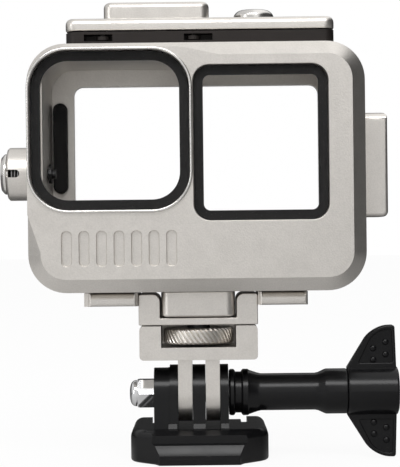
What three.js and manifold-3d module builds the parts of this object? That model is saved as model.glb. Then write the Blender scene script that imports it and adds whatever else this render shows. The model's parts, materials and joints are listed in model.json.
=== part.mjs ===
// Underwater camera housing of machined aluminium on a three-prong tilting mount with a slide-in buckle.
// Millimetres, +Z up. The front faces -Y. The origin is the middle of the buckle's underside.
import * as THREE from 'three';
import { mergeVertices } from 'three/addons/utils/BufferGeometryUtils.js';
import Module from 'manifold-3d';

const wasm = await Module();
wasm.setup();

// Clearances and counts that every piece shares
const fit = 0.3; // gap between two pieces that rest on each other or slide
const overrun = 1; // how far a cutter passes the face that it opens
const fine = 32; // steps round a large turned piece
const coarse = 16; // steps round a small turned piece
const cornerSteps = 3; // halves of the steps round each rounded corner

// Housing body
const bodyWidth = 87.5;
const bodyHeight = 64.5;
const bodyCorner = 10;
const bodyFront = -21;
const shellDepth = 37;
const doorThick = 4.6;
const doorGap = 0.4;
const sideWall = 3.8;
const frontWall = 4.2;
const frontChamfer = 3.5;
const rearChamfer = 0.8;
const seatDepth = 3; // pockets that hold the window glasses
const glassThick = 1.8;
const maskThick = 0.6;

// Lens window, a rounded square at the upper left of the front
const lensSize = 42.6;
const lensCorner = 10.5;
const bezelWall = 0.8;
const bezelProud = 1;
const lensLeft = 0.2; // from the body's left side to the bezel
const lensTop = 1.3; // from the body's top to the bezel
const lensMaskWidth = 2.5;

// Screen window to the right of the lens
const screenWidth = 34.2;
const screenHeight = 39.4;
const screenCorner = 4;
const screenGap = 0.5; // between the bezel and the screen window
const screenTop = 6.4;
const screenMaskWidth = 2.5;

// Shallow recesses below the lens
const recessCount = 7;
const recessPitch = 4.5;
const recessWidth = 2.5;
const recessHeight = 9;
const recessDepth = 0.6;
const recessLeft = 10.15; // from the body's left side to the first recess's middle
const recessLow = 11.4; // from the body's underside to the recesses' middle

// Rear door
const rearSideBorder = 9.85; // door metal beside the rear opening
const rearTopBorder = 8.5; // door metal above and below it
const rearOpenCorner = 2.5;
const rearLedge = 1.8; // door metal that carries the rear glass all round
const sealWidth = 1.4;
const sealDepth = 0.9;
const padWidth = 4;
const padHeight = 25;
const padThick = 2;
const padHigh = 6.75; // pad's middle above the body's middle

// Door hinge on the right side
const hingeHeight = 28.2;
const hingeProud = 7.8;
const hingeFront = 2;
const hingeRound = 1.5;
const hingeHigh = 0.85; // hinge's middle above the body's middle
const knuckleHeight = 14;
const knuckleArmLap = 2.5; // how far the knuckle's arm reaches into the door
const knuckleRadius = 2.9;
const hingePinRadius = 1.1;
const hingePinOut = 4.3; // pin axis from the body's side
const hingeScrewHead = 2.2;
const hingeScrewRadius = 1.1;
const hingeScrewShare = 0.333; // of the hinge's height, from its middle to a screw

// Top plate, its spacer and the sliding latch
const plateWidth = 69.6;
const plateThick = 3.3;
const plateCorner = 2.64;
const plateFront = -15;
const plateBack = 12.5;
const plateRight = 1.4; // plate's middle right of the body's middle
const spacerThick = 2.95;
const pocketWidth = 7.4;
const pocketDepth = 4;
const pocketFloor = 0.5;
const pocketRoof = 0.7;
const pocketLeft = 25.2; // left pocket's middle, left of the body's middle
const pocketRight = 0.8; // right pocket's middle, right of the body's middle
const plateScrewRadius = 0.8;
const plateScrewHead = 1.8;
const plateScrewHeadThick = 0.95;
const plateScrewDeep = 1.8; // how far a screw reaches into the plate
const plateScrewAside = 1.2; // from a pocket's middle to its screw
const latchWidth = 27.3;
const latchHeight = 4.45;
const latchFront = -10;
const latchMiddle = 10.4; // left of the body's middle
const latchTravel = 7;
const latchRound = 1.3;
const latchKeyWidth = 12;
const latchKeyNeck = 3;
const latchKeyFoot = 6;
const latchKeyFootThick = 1.2;
const latchHookThick = 3.6;

// Shutter button on the top
const shutterX = 15.6;
const shutterY = -3;
const shutterRadius = 5.3;
const shutterProud = 2.9;
const shutterTravel = 1.5;
const shutterShoulderShare = 0.62; // of the cap's radius, where the dome begins
const shutterCrownShare = 0.3; // of the cap's radius, where the dome ends
const shutterSink = 2; // depth of the cup that the cap sinks into
const stemRadius = 1.3;
const springBoreRadius = 3.1;
const springBoreSeat = 1.2; // spacer metal left under the spring
const clipRadius = 2.6;
const clipThick = 0.8;
const clipGap = 0.15; // between a stem and its clip
const ringThick = 0.9;
const ringStemGap = 0.075; // between a stem and its ring seal
const ringBoreGap = 0.06; // between a ring seal and its bore
const stemReach = 2.2; // how far a stem stands into the hollow

// Side button on the left
const sideZ = -0.8; // below the body's middle
const barrelRadius = 7.1;
const barrelProud = 6.7;
const barrelChamfer = 0.5;
const barrelBoreRadius = 5.7;
const barrelFloor = 1.8;
const sideCapRadius = 5.4;
const sideCapProud = 1.8;
const sideCapStep = 0.7;
const windowSlot = 2; // height of the slot that shows the spring
const windowSlotLong = 3.5;
const wireThick = 0.62;
const sideSpringRadius = 4.4;
const shutterSpringRadius = 2.35;
const shutterWire = 0.5;
const springGap = 0.5; // free space between two curls
const curlSteps = 8;
const curlSides = 5;

// Rails, boss and saddle under the body
const railReach = 28.7;
const railThick = 3.5;
const railRound = 0.875;
const railHalfDepth = 13;
const bossWidth = 19.5;
const bossDrop = 6.5;
const bossHalfDepth = 10.5;
const bossRound = 1.6;
const saddleWidth = 31.4;
const saddleWeb = 1.9;
const saddleHalfDepth = 9.5;
const earWidth = 5.6;
const earRound = 1.6;
const earTop = 0.85; // ear's top below the body's underside
const railScrewRadius = 1.5;
const railScrewHead = 2.4;

// Fork block and wheel
const forkInset = 0.1; // from the saddle's side in to the block's side
const forkHeight = 9;
const forkHalfDepth = 9;
const forkRearWall = 1.6; // closes the wheel's window at the back
const forkRound = 1.1;
const forkFloor = 3.3;
const wheelWindow = 19.8;
const wheelRadius = 9.4;
const wheelThick = 4.2;
const wheelTeeth = 40;
const wheelToothDepth = 0.35;
const wheelSlant = 0.11; // radians that the teeth lean from bottom to top
const studRadius = 3.1;
const studReach = 5;
const forkScrewRadius = 1.1;
const forkScrewHead = 1.9;
const forkScrewIn = 3; // from the block's side in to its screw

// Prongs: the fork's two light ones go between the buckle's three black ones
const forkProng = 3.3;
const middleProng = 3.4;
const outerProng = 2.2;
const prongRadius = 7.6;
const screwRadius = 2.45;
const axisHeight = 17.9;
const forkDrop = 9.3; // from the tilt axis up to the fork block

// Buckle
const baseWidth = 36.8;
const baseHeight = 8.8;
const baseFront = -13;
const baseBack = 25;
const baseRound = 2.6;
const noseWidth = 21.2; // flat middle of the front
const noseDepth = 20; // how far the slanted front corners run back
const noseSlope = 5; // length of the slope down to the front's top edge
const noseDrop = 2.6;
const baseScoopDepth = 2.2;
const baseScoopHigh = 5.6;
const baseScoopWidth = 25.5;
const baseFootCut = 1.3;
const clipSlot = 1.8;
const clipSlotLong = 15;
const clipArm = 5.2;
const nutHouseReach = 12; // left of the middle
const nutHouseRadius = 6.9;
const nutFlats = 7.4;
const nutHex = 2.6;
const nutDome = 3.3;

// Thumb screw
const collarRadius = 6.2;
const collarOneLong = 1.4;
const grooveLong = 1.9;
const grooveRadius = 4.6;
const collarTwoLong = 1.8;
const taperLong = 3.3;
const sleeveRadius = 4.95;
const sleeveLong = 14.5;
const flareLong = 2.9;
const drumRadius = 6.05;
const drumLong = 5.4;
const hubRadius = 6.5;
const hubLong = 13.8;
const hubDome = 0.8;
const hubCrown = 0.27; // rise of the knob's flat end
const wingReach = 17.6;
const wingThick = 3.6;
const wingPanelDepth = 0.5;

// Sizes that follow from the ones above
const forkProngX = middleProng / 2 + fit + forkProng / 2;
const outerProngX = forkProngX + forkProng / 2 + fit + outerProng / 2;
const forkWidth = saddleWidth - 2 * forkInset;
const forkScrewOut = forkWidth / 2 - forkScrewIn;
const forkLow = axisHeight + forkDrop;
const forkTop = forkLow + forkHeight;
const saddleLow = forkTop + fit;
const saddleTop = saddleLow + saddleWeb;
const bossLow = saddleTop + fit;
const bossTop = bossLow + bossDrop;
const bodyLow = bossTop + fit;
const bodyTop = bodyLow + bodyHeight;
const bodyMiddle = bodyLow + bodyHeight / 2;
const bodySide = bodyWidth / 2;
const shellBack = bodyFront + shellDepth;
const doorFront = shellBack + doorGap;
const doorBack = doorFront + doorThick;
const hollowFront = bodyFront + frontWall;
const lensX = -bodySide + lensLeft + lensSize / 2;
const lensZ = bodyTop - lensTop - lensSize / 2;
const screenX = lensX + lensSize / 2 + screenGap + screenWidth / 2;
const screenZ = bodyTop - screenTop - screenHeight / 2;
const spacerLow = bodyTop + fit;
const spacerTop = spacerLow + spacerThick;
const plateLow = spacerTop + fit;
const plateTop = plateLow + plateThick;
const latchLow = plateTop + fit;
const latchTop = latchLow + latchHeight;
const hingeAxisX = bodySide + hingePinOut;
const hingeAxisY = (doorFront + doorBack) / 2;
const hingeZ = bodyMiddle + hingeHigh;
const sideButtonZ = bodyMiddle + sideZ;
const barrelIn = -bodySide - fit;
const barrelOut = -bodySide - barrelProud;
const glassSize = lensSize - 2 * bezelWall - 2 * fit;
const glassCorner = lensCorner - bezelWall - fit;
const rearOpenWidth = bodyWidth - 2 * rearSideBorder;
const rearOpenHeight = bodyHeight - 2 * rearTopBorder;
const rearGlassWidth = rearOpenWidth + 2 * rearLedge;
const rearGlassHeight = rearOpenHeight + 2 * rearLedge;
const plateScrewPlaces = [-pocketLeft + plateScrewAside, pocketRight - plateScrewAside];
const plateScrewY = plateFront + pocketDepth - fit - plateScrewHead;
const hingeScrewPlaces = [-1, 1].map((side) => [
  (hingeFront + hingeAxisY) / 2 - knuckleRadius / 2,
  hingeZ + side * hingeScrewShare * hingeHeight,
]);
const sleeveStart = outerProngX + outerProng / 2 + fit;
const sleeveEnd =
  sleeveStart + collarOneLong + grooveLong + collarTwoLong + taperLong + sleeveLong + flareLong + drumLong;
const knobStart = sleeveEnd + fit;
const knobEnd = knobStart + hubLong;

// Materials
function surface(colour, roughness, metalness) {
  return new THREE.MeshStandardMaterial({ color: colour, roughness, metalness });
}
const anodised = surface(0xc5c0b9, 0.42, 0.85);
const bright = surface(0xd8d5cf, 0.3, 0.9);
const darkMetal = surface(0x3a3532, 0.45, 0.6);
const blackPlastic = surface(0x141414, 0.3, 0);
const rubber = surface(0x1d1b1a, 0.75, 0);
const chrome = surface(0xdcdcde, 0.08, 1);
const steel = surface(0x9a9a9c, 0.3, 1);
const clearGlass = new THREE.MeshStandardMaterial({
  color: 0xf2f4f4,
  roughness: 0.03,
  metalness: 0,
  transparent: true,
  opacity: 0.2,
});

// Solids: a closed geometry becomes a manifold with its faces pointing out, and back
function toSolid(geometry) {
  const bare = geometry.index ? geometry.toNonIndexed() : geometry.clone();
  bare.deleteAttribute('normal');
  bare.deleteAttribute('uv');
  const merged = mergeVertices(bare, fit / 1000);
  const vertProperties = Float32Array.from(merged.attributes.position.array);
  const triVerts = Uint32Array.from(merged.index.array);
  if (signedVolume(vertProperties, triVerts) < 0) {
    triVerts.reverse();
  }
  return new wasm.Manifold(new wasm.Mesh({ numProp: 3, vertProperties, triVerts }));
}

function signedVolume(points, corners) {
  const a = new THREE.Vector3();
  const b = new THREE.Vector3();
  const c = new THREE.Vector3();
  let sum = 0;
  for (let i = 0; i < corners.length; i += 3) {
    a.fromArray(points, corners[i] * 3);
    b.fromArray(points, corners[i + 1] * 3);
    c.fromArray(points, corners[i + 2] * 3);
    sum += a.dot(b.cross(c));
  }
  return sum;
}

function toGeometry(solid) {
  const mesh = solid.getMesh();
  const geometry = new THREE.BufferGeometry();
  const stride = mesh.numProp;
  const positions = new Float32Array((mesh.vertProperties.length / stride) * 3);
  for (let i = 0; i < positions.length / 3; i += 1) {
    positions.set(mesh.vertProperties.slice(i * stride, i * stride + 3), i * 3);
  }
  geometry.setAttribute('position', new THREE.BufferAttribute(positions, 3));
  geometry.setIndex(Array.from(mesh.triVerts));
  geometry.computeVertexNormals();
  return geometry;
}

function joined(...solids) {
  return solids.reduce((sum, solid) => sum.add(solid));
}

function cutBy(solid, ...cutters) {
  return cutters.reduce((rest, cutter) => rest.subtract(cutter), solid);
}

// Outlines
function roundedRect(width, height, corner, x = 0, y = 0) {
  const w = width / 2 - corner;
  const h = height / 2 - corner;
  const shape = new THREE.Shape();
  shape.absarc(x + w, y - h, corner, -Math.PI / 2, 0);
  shape.absarc(x + w, y + h, corner, 0, Math.PI / 2);
  shape.absarc(x - w, y + h, corner, Math.PI / 2, Math.PI);
  shape.absarc(x - w, y - h, corner, Math.PI, Math.PI * 1.5);
  return shape;
}

function polygon(points) {
  return new THREE.Shape(points.map(([x, y]) => new THREE.Vector2(x, y)));
}

function circle(radius, x = 0, y = 0) {
  const shape = new THREE.Shape();
  shape.absarc(x, y, radius, 0, Math.PI * 2);
  return shape;
}

// Prisms: an outline in X and Z pushed along Y, in X and Y along Z, or in Y and Z along X
function extruded(shape, depth, steps) {
  return new THREE.ExtrudeGeometry(shape, { depth, bevelEnabled: false, curveSegments: steps });
}

function alongY(shape, front, back, steps = cornerSteps) {
  return toSolid(extruded(shape, back - front, steps).rotateX(Math.PI / 2).translate(0, back, 0));
}

function alongZ(shape, low, high, steps = cornerSteps) {
  return toSolid(extruded(shape, high - low, steps).translate(0, 0, low));
}

function alongX(shape, left, right, steps = cornerSteps) {
  const swap = new THREE.Matrix4().set(0, 0, 1, 0, 1, 0, 0, 0, 0, 1, 0, 0, 0, 0, 0, 1);
  return toSolid(extruded(shape, right - left, steps).applyMatrix4(swap).translate(left, 0, 0));
}

function box(x0, x1, y0, y1, z0, z1) {
  const geometry = new THREE.BoxGeometry(x1 - x0, y1 - y0, z1 - z0);
  return toSolid(geometry.translate((x0 + x1) / 2, (y0 + y1) / 2, (z0 + z1) / 2));
}

// Turned pieces: a profile of radius and height about Z, X or Y
function turned(profile, steps) {
  const points = profile.map(([r, h]) => new THREE.Vector2(r, h));
  return new THREE.LatheGeometry(points, steps).rotateX(Math.PI / 2);
}

function aboutZ(profile, x, y, steps = coarse) {
  return toSolid(turned(profile, steps).translate(x, y, 0));
}

function aboutX(profile, y, z, steps = coarse) {
  return toSolid(turned(profile, steps).rotateY(Math.PI / 2).translate(0, y, z));
}

function aboutY(profile, x, z, steps = coarse) {
  return toSolid(turned(profile, steps).rotateX(-Math.PI / 2).translate(x, 0, z));
}

function rod(radius, low, high) {
  return [[0, low], [radius, low], [radius, high], [0, high]];
}

function sleeve(inner, outer, low, high) {
  return [[inner, low], [outer, low], [outer, high], [inner, high], [inner, low]];
}

// A prism whose front edge is cut back by a chamfer all round
function chamferedFront(width, height, corner, x, z, front, back, chamfer) {
  const outer = alongY(roundedRect(width, height, corner, x, z), front + chamfer, back);
  const inner = roundedRect(width - 2 * chamfer, height - 2 * chamfer, corner - chamfer, x, z);
  const outerRing = roundedRect(width, height, corner, x, z).getPoints(cornerSteps);
  return joined(outer, lofted(outerRing, front + chamfer, inner.getPoints(cornerSteps), front));
}

// A closed solid between two rings of equal count in planes of constant Y
function lofted(ringA, yA, ringB, yB) {
  const a = withoutRepeat(ringA);
  const b = withoutRepeat(ringB);
  const count = a.length;
  const positions = [];
  a.forEach((p) => positions.push(p.x, yA, p.y));
  b.forEach((p) => positions.push(p.x, yB, p.y));
  const index = [];
  for (let i = 0; i < count; i += 1) {
    const next = (i + 1) % count;
    index.push(i, next, count + i, next, count + next, count + i);
  }
  const { triangulateShape } = THREE.ShapeUtils;
  triangulateShape(a, []).forEach(([p, q, r]) => index.push(r, q, p));
  triangulateShape(b, []).forEach(([p, q, r]) => index.push(count + p, count + q, count + r));
  const geometry = new THREE.BufferGeometry();
  geometry.setAttribute('position', new THREE.BufferAttribute(new Float32Array(positions), 3));
  geometry.setIndex(index);
  return toSolid(geometry);
}

function withoutRepeat(ring) {
  return ring.filter((p, i) => p.distanceTo(ring[(i + 1) % ring.length]) > fit / 100);
}

// Coil spring about Z from low to high, one unbroken tube
function coilSpring(radius, wire, low, high) {
  const room = high - low - wire;
  const turns = Math.floor((room / (wire + springGap)) * curlSteps) / curlSteps;
  const steps = Math.round(turns * curlSteps);
  const positions = [];
  const index = [];
  const middles = [];
  for (let i = 0; i <= steps; i += 1) {
    const angle = (i / curlSteps) * Math.PI * 2;
    const height = low + wire / 2 + (room * i) / steps;
    middles.push(new THREE.Vector3(radius * Math.cos(angle), radius * Math.sin(angle), height));
    for (let k = 0; k < curlSides; k += 1) {
      const round = (k / curlSides) * Math.PI * 2;
      const reach = radius + (wire / 2) * Math.cos(round);
      positions.push(reach * Math.cos(angle), reach * Math.sin(angle), height + (wire / 2) * Math.sin(round));
    }
  }
  for (let i = 0; i < steps; i += 1) {
    for (let k = 0; k < curlSides; k += 1) {
      const a = i * curlSides + k;
      const b = i * curlSides + ((k + 1) % curlSides);
      index.push(a, a + curlSides, b, b, a + curlSides, b + curlSides);
    }
  }
  for (let k = 1; k < curlSides - 1; k += 1) {
    const end = steps * curlSides;
    index.push(0, k, k + 1, end, end + k + 1, end + k);
  }
  let least = Infinity;
  for (let i = 0; i + curlSteps <= steps; i += 1) {
    least = Math.min(least, middles[i].distanceTo(middles[i + curlSteps]) - wire);
  }
  console.log(`coil spring: ${turns} curls, least gap to itself ${least.toFixed(2)} mm`);
  const geometry = new THREE.BufferGeometry();
  geometry.setAttribute('position', new THREE.BufferAttribute(new Float32Array(positions), 3));
  geometry.setIndex(index);
  return geometry;
}

// A stadium outline, a slot with round ends
function stadium(width, height, x, y) {
  return roundedRect(width, height, Math.min(width, height) / 2, x, y);
}

// The plateau that fills the front chamfer beside the lens, with a slanting run-out at each end
function lensPlateau() {
  const left = lensX - lensSize / 2;
  const top = lensZ + lensSize / 2;
  const innerLeft = -bodySide + frontChamfer;
  const innerLow = bodyLow + frontChamfer;
  const innerTop = bodyTop - frontChamfer;
  const leftRun = polygon([
    [left, lensZ],
    [left, lensZ - lensSize / 2 - fit],
    [innerLeft + frontChamfer / 2, innerLow + frontChamfer / 2],
    [innerLeft + 2 * frontChamfer, innerLow],
    [lensX, innerLow],
    [lensX, lensZ],
  ]);
  const topRun = polygon([
    [lensX, lensZ],
    [lensX + lensSize, lensZ],
    [lensX + lensSize / 2 + 2 * frontChamfer, innerTop],
    [lensX + lensSize / 2 - frontChamfer, top],
    [lensX, top],
  ]);
  const deep = bodyFront + frontChamfer;
  return joined(
    alongY(roundedRect(lensSize, lensSize, lensCorner, lensX, lensZ), bodyFront, deep + overrun),
    alongY(leftRun, bodyFront, deep + overrun),
    alongY(topRun, bodyFront, deep + overrun),
  );
}

function bodyBlock(front, back, chamfer) {
  return chamferedFront(bodyWidth, bodyHeight, bodyCorner, 0, bodyMiddle, front, back, chamfer);
}

// The cut for a window: a pocket for the glass and a smaller opening behind its mask
function windowCut(width, height, corner, mask, x, z) {
  const pocket = roundedRect(width + 2 * fit, height + 2 * fit, corner + fit, x, z);
  const opening = roundedRect(width - 2 * mask, height - 2 * mask, Math.max(corner - mask, mask / 2), x, z);
  return joined(
    alongY(pocket, bodyFront - overrun, bodyFront + seatDepth),
    alongY(opening, bodyFront - overrun, hollowFront + overrun),
  );
}

function recesses() {
  const cuts = [];
  for (let i = 0; i < recessCount; i += 1) {
    const x = -bodySide + recessLeft + i * recessPitch;
    const outline = stadium(recessWidth, recessHeight, x, bodyLow + recessLow);
    cuts.push(alongY(outline, bodyFront - overrun, bodyFront + recessDepth));
  }
  return joined(...cuts);
}

function hollow(front, back) {
  const corner = bodyCorner - sideWall;
  const outline = roundedRect(bodyWidth - 2 * sideWall, bodyHeight - 2 * sideWall, corner, 0, bodyMiddle);
  return alongY(outline, front, back);
}

function sealRing(front, back, spare) {
  const middle = sideWall / 2;
  const outerInset = middle - sealWidth / 2 - spare;
  const innerInset = middle + sealWidth / 2 + spare;
  const ring = (inset) => {
    const corner = bodyCorner - inset;
    return roundedRect(bodyWidth - 2 * inset, bodyHeight - 2 * inset, corner, 0, bodyMiddle);
  };
  const inner = alongY(ring(innerInset), front - overrun, back + overrun);
  return cutBy(alongY(ring(outerInset), front, back), inner);
}

function frontShell() {
  const block = joined(bodyBlock(bodyFront, shellBack, frontChamfer), lensPlateau());
  return cutBy(
    block,
    hollow(hollowFront, shellBack + overrun),
    windowCut(glassSize, glassSize, glassCorner, lensMaskWidth, lensX, lensZ),
    windowCut(screenWidth, screenHeight, screenCorner, screenMaskWidth, screenX, screenZ),
    recesses(),
    sealRing(shellBack - sealDepth, shellBack + overrun, fit),
    aboutZ(rod(stemRadius + fit, bodyTop - sideWall - overrun, bodyTop + overrun), shutterX, shutterY),
    aboutX(rod(stemRadius + fit, -bodySide - overrun, -bodySide + sideWall + overrun), 0, sideButtonZ),
  );
}

function ringPlate(width, height, corner, wall, x, z, front, back) {
  const inner = roundedRect(width - 2 * wall, height - 2 * wall, Math.max(corner - wall, wall / 2), x, z);
  return cutBy(
    alongY(roundedRect(width, height, corner, x, z), front, back),
    alongY(inner, front - overrun, back + overrun),
  );
}

function lensBezel() {
  const front = bodyFront - bezelProud;
  return ringPlate(lensSize, lensSize, lensCorner, bezelWall, lensX, lensZ, front, bodyFront - fit);
}

function windowGlass(width, height, corner, x, z, back) {
  return alongY(roundedRect(width, height, corner, x, z), back - glassThick, back);
}

function windowPieces(width, height, corner, mask, x, z) {
  const maskBack = bodyFront + seatDepth - fit;
  const glassBack = maskBack - maskThick - fit;
  return {
    glass: windowGlass(width, height, corner, x, z, glassBack),
    mask: ringPlate(width, height, corner, mask, x, z, maskBack - maskThick, maskBack),
  };
}

// Rear door with its window, seal, pad and hinge knuckle
function doorFrame() {
  const outline = roundedRect(bodyWidth, bodyHeight, bodyCorner, 0, bodyMiddle);
  const outer = outline.getPoints(cornerSteps);
  const inset = roundedRect(
    bodyWidth - 2 * rearChamfer,
    bodyHeight - 2 * rearChamfer,
    bodyCorner - rearChamfer,
    0,
    bodyMiddle,
  ).getPoints(cornerSteps);
  const plate = joined(
    alongY(outline, doorFront, doorBack - rearChamfer),
    lofted(inset, doorBack, outer, doorBack - rearChamfer),
  );
  const opening = roundedRect(rearOpenWidth, rearOpenHeight, rearOpenCorner, 0, bodyMiddle);
  const pocket = roundedRect(
    rearGlassWidth + 2 * fit,
    rearGlassHeight + 2 * fit,
    rearOpenCorner + rearLedge + fit,
    0,
    bodyMiddle,
  );
  const knuckleLow = hingeZ - knuckleHeight / 2;
  const knuckleHigh = hingeZ + knuckleHeight / 2;
  const arm = box(
    bodySide - knuckleArmLap,
    hingeAxisX,
    hingeAxisY - knuckleRadius / 2,
    hingeAxisY + knuckleRadius / 2,
    knuckleLow,
    knuckleHigh,
  );
  const knuckle = aboutZ(rod(knuckleRadius, knuckleLow, knuckleHigh), hingeAxisX, hingeAxisY);
  return cutBy(
    joined(plate, arm, knuckle),
    alongY(opening, doorFront - overrun, doorBack + overrun),
    alongY(pocket, doorBack - seatDepth, doorBack + overrun),
    aboutZ(rod(hingePinRadius + fit, knuckleLow - overrun, knuckleHigh + overrun), hingeAxisX, hingeAxisY),
  );
}

function doorGlass() {
  const outline = roundedRect(rearGlassWidth, rearGlassHeight, rearOpenCorner + rearLedge, 0, bodyMiddle);
  return alongY(outline, doorBack - glassThick, doorBack);
}

function doorGasket() {
  const front = doorBack - seatDepth + fit;
  const back = front + maskThick;
  const corner = rearOpenCorner + rearLedge;
  return ringPlate(rearGlassWidth, rearGlassHeight, corner, rearLedge, 0, bodyMiddle, front, back);
}

function doorPad() {
  const x = -bodySide + sideWall + fit + padWidth / 2;
  const outline = stadium(padWidth, padHeight, x, bodyMiddle + padHigh);
  return alongY(outline, doorFront - fit - padThick, doorFront - fit);
}

// Hinge block with two lugs round the pin and a slot at the rear for the door's knuckle
function hingeBlock() {
  const low = hingeZ - hingeHeight / 2;
  const high = hingeZ + hingeHeight / 2;
  const left = bodySide + fit;
  const right = bodySide + hingeProud;
  const outline = roundedRect(right - left, high - low, hingeRound, (left + right) / 2, hingeZ);
  const webBack = hingeAxisY - knuckleRadius - fit;
  const web = alongY(outline, hingeFront, webBack);
  const lug = (z0, z1) =>
    joined(
      aboutZ(rod(knuckleRadius, z0, z1), hingeAxisX, hingeAxisY),
      box(hingeAxisX - knuckleRadius, hingeAxisX + knuckleRadius, webBack - overrun, hingeAxisY, z0, z1),
    );
  const lugs = joined(
    lug(low + hingeRound, hingeZ - knuckleHeight / 2 - fit),
    lug(hingeZ + knuckleHeight / 2 + fit, high - hingeRound),
  );
  const screwCuts = hingeScrewPlaces.map(([y, z]) =>
    joined(
      aboutX(rod(hingeScrewRadius + fit, left - overrun, right), y, z),
      aboutX(rod(hingeScrewHead + fit, right - hingeScrewHead, right + overrun), y, z),
    ),
  );
  return cutBy(
    joined(web, lugs),
    aboutZ(rod(hingePinRadius + fit, low - overrun, high + overrun), hingeAxisX, hingeAxisY),
    ...screwCuts,
  );
}

function hingeScrew([y, z]) {
  const headTop = bodySide + hingeProud - fit;
  const headLow = bodySide + hingeProud - hingeScrewHead + fit;
  return joined(
    aboutX(rod(hingeScrewRadius, bodySide + fit, headLow + fit), y, z),
    aboutX(rod(hingeScrewHead, headLow, headTop), y, z),
  );
}

function hingePin() {
  const low = hingeZ - hingeHeight / 2 + hingeRound;
  const high = hingeZ + hingeHeight / 2 - hingeRound;
  return aboutZ(rod(hingePinRadius, low, high), hingeAxisX, hingeAxisY);
}

// Top plate, spacer and their cuts
function shutterBore(low, high, radius) {
  return aboutZ(rod(radius, low, high), shutterX, shutterY);
}

function keySlot(low, high, depth) {
  const left = -latchMiddle - latchKeyWidth / 2 - fit - latchTravel;
  const right = -latchMiddle + latchKeyWidth / 2 + fit;
  return box(left, right, -depth / 2 - fit, depth / 2 + fit, low, high);
}

function plateOutline() {
  const middle = (plateFront + plateBack) / 2;
  return roundedRect(plateWidth, plateBack - plateFront, plateCorner, plateRight, middle);
}

function plateScrewBore(x, low, high) {
  return aboutZ(rod(plateScrewRadius + fit, low, high), x, plateScrewY);
}

function topPlate() {
  return cutBy(
    alongZ(plateOutline(), plateLow, plateTop),
    ...plateScrewPlaces.map((x) => plateScrewBore(x, plateLow - overrun, plateLow + plateScrewDeep + fit)),
    shutterBore(plateTop - shutterSink, plateTop + overrun, shutterRadius + fit),
    shutterBore(plateLow - overrun, plateTop, springBoreRadius),
    keySlot(plateLow - overrun, plateTop + overrun, latchKeyNeck),
  );
}

function topSpacer() {
  const half = pocketWidth / 2;
  const front = plateFront - overrun;
  const back = plateFront + pocketDepth;
  const low = spacerLow + pocketFloor;
  const high = spacerTop - pocketRoof;
  const pocket = (x) => box(x - half, x + half, front, back, low, high);
  return cutBy(
    alongZ(plateOutline(), spacerLow, spacerTop),
    pocket(-pocketLeft),
    pocket(pocketRight),
    ...plateScrewPlaces.map((x) => plateScrewBore(x, low, spacerTop + overrun)),
    shutterBore(spacerLow + springBoreSeat, spacerTop + overrun, springBoreRadius),
    shutterBore(spacerLow - overrun, spacerTop, stemRadius + fit),
    keySlot(spacerTop - latchKeyFootThick - 2 * fit, spacerTop + overrun, latchKeyFoot),
  );
}

function pocketScrew(x) {
  const low = spacerLow + pocketFloor + fit;
  return joined(
    aboutZ(rod(plateScrewHead, low, low + plateScrewHeadThick), x, plateScrewY),
    aboutZ(rod(plateScrewRadius, low, plateLow + plateScrewDeep), x, plateScrewY),
  );
}

// Sliding latch with a lip that covers the door's top edge
function latchSlider() {
  const back = doorBack;
  const depth = back - latchFront;
  const middle = (latchFront + back) / 2;
  const outline = roundedRect(latchWidth, depth, latchRound, -latchMiddle, middle);
  const innerWidth = latchWidth - latchRound;
  const inner = roundedRect(innerWidth, depth - latchRound, latchRound / 2, -latchMiddle, middle);
  const block = alongZ(outline, latchLow, latchTop - latchRound);
  const top = alongZ(inner, latchLow, latchTop);
  const lip = box(
    -latchMiddle - latchWidth / 2 + latchRound,
    -latchMiddle + latchWidth / 2 - latchRound,
    back - latchHookThick,
    back,
    bodyTop + fit,
    latchLow + overrun,
  );
  return joined(block, top, lip);
}

function latchKey() {
  const left = -latchMiddle - latchKeyWidth / 2;
  const right = -latchMiddle + latchKeyWidth / 2;
  const low = spacerTop - latchKeyFootThick;
  return joined(
    box(left, right, -latchKeyNeck / 2, latchKeyNeck / 2, low, plateTop),
    box(left, right, -latchKeyFoot / 2, latchKeyFoot / 2, low, spacerTop),
  );
}

// Shutter button: cap, stem, spring, ring seal and clip
function shutterCap() {
  const low = plateTop - shutterSink + shutterTravel + fit;
  const top = plateTop + shutterProud;
  const profile = [
    [0, low],
    [shutterRadius, low],
    [shutterRadius, plateTop + shutterProud / 2],
    [shutterRadius * shutterShoulderShare, top - fit],
    [shutterRadius * shutterCrownShare, top],
    [0, top],
  ];
  return cutBy(
    aboutZ(profile, shutterX, shutterY, fine),
    aboutZ(rod(stemRadius + fit, low - overrun, low + shutterTravel), shutterX, shutterY),
  );
}

function shutterStem() {
  const high = plateTop - shutterSink + 2 * shutterTravel;
  return aboutZ(rod(stemRadius, bodyTop - sideWall - stemReach, high), shutterX, shutterY);
}

function shutterClip() {
  const high = bodyTop - sideWall - fit;
  const clip = sleeve(stemRadius + clipGap, clipRadius, high - clipThick, high);
  return aboutZ(clip, shutterX, shutterY);
}

// A ring seal's section, between a stem and its bore
function ringSection(low, high) {
  return sleeve(stemRadius + ringStemGap, stemRadius + fit - ringBoreGap, low, high);
}

function shutterRing() {
  const low = bodyTop + fit - ringThick;
  return aboutZ(ringSection(low, bodyTop), shutterX, shutterY);
}

function shutterSpring() {
  const low = spacerLow + springBoreSeat + fit;
  const high = plateTop - shutterSink + shutterTravel;
  return toSolid(coilSpring(shutterSpringRadius, shutterWire, low, high).translate(shutterX, shutterY, 0));
}

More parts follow.
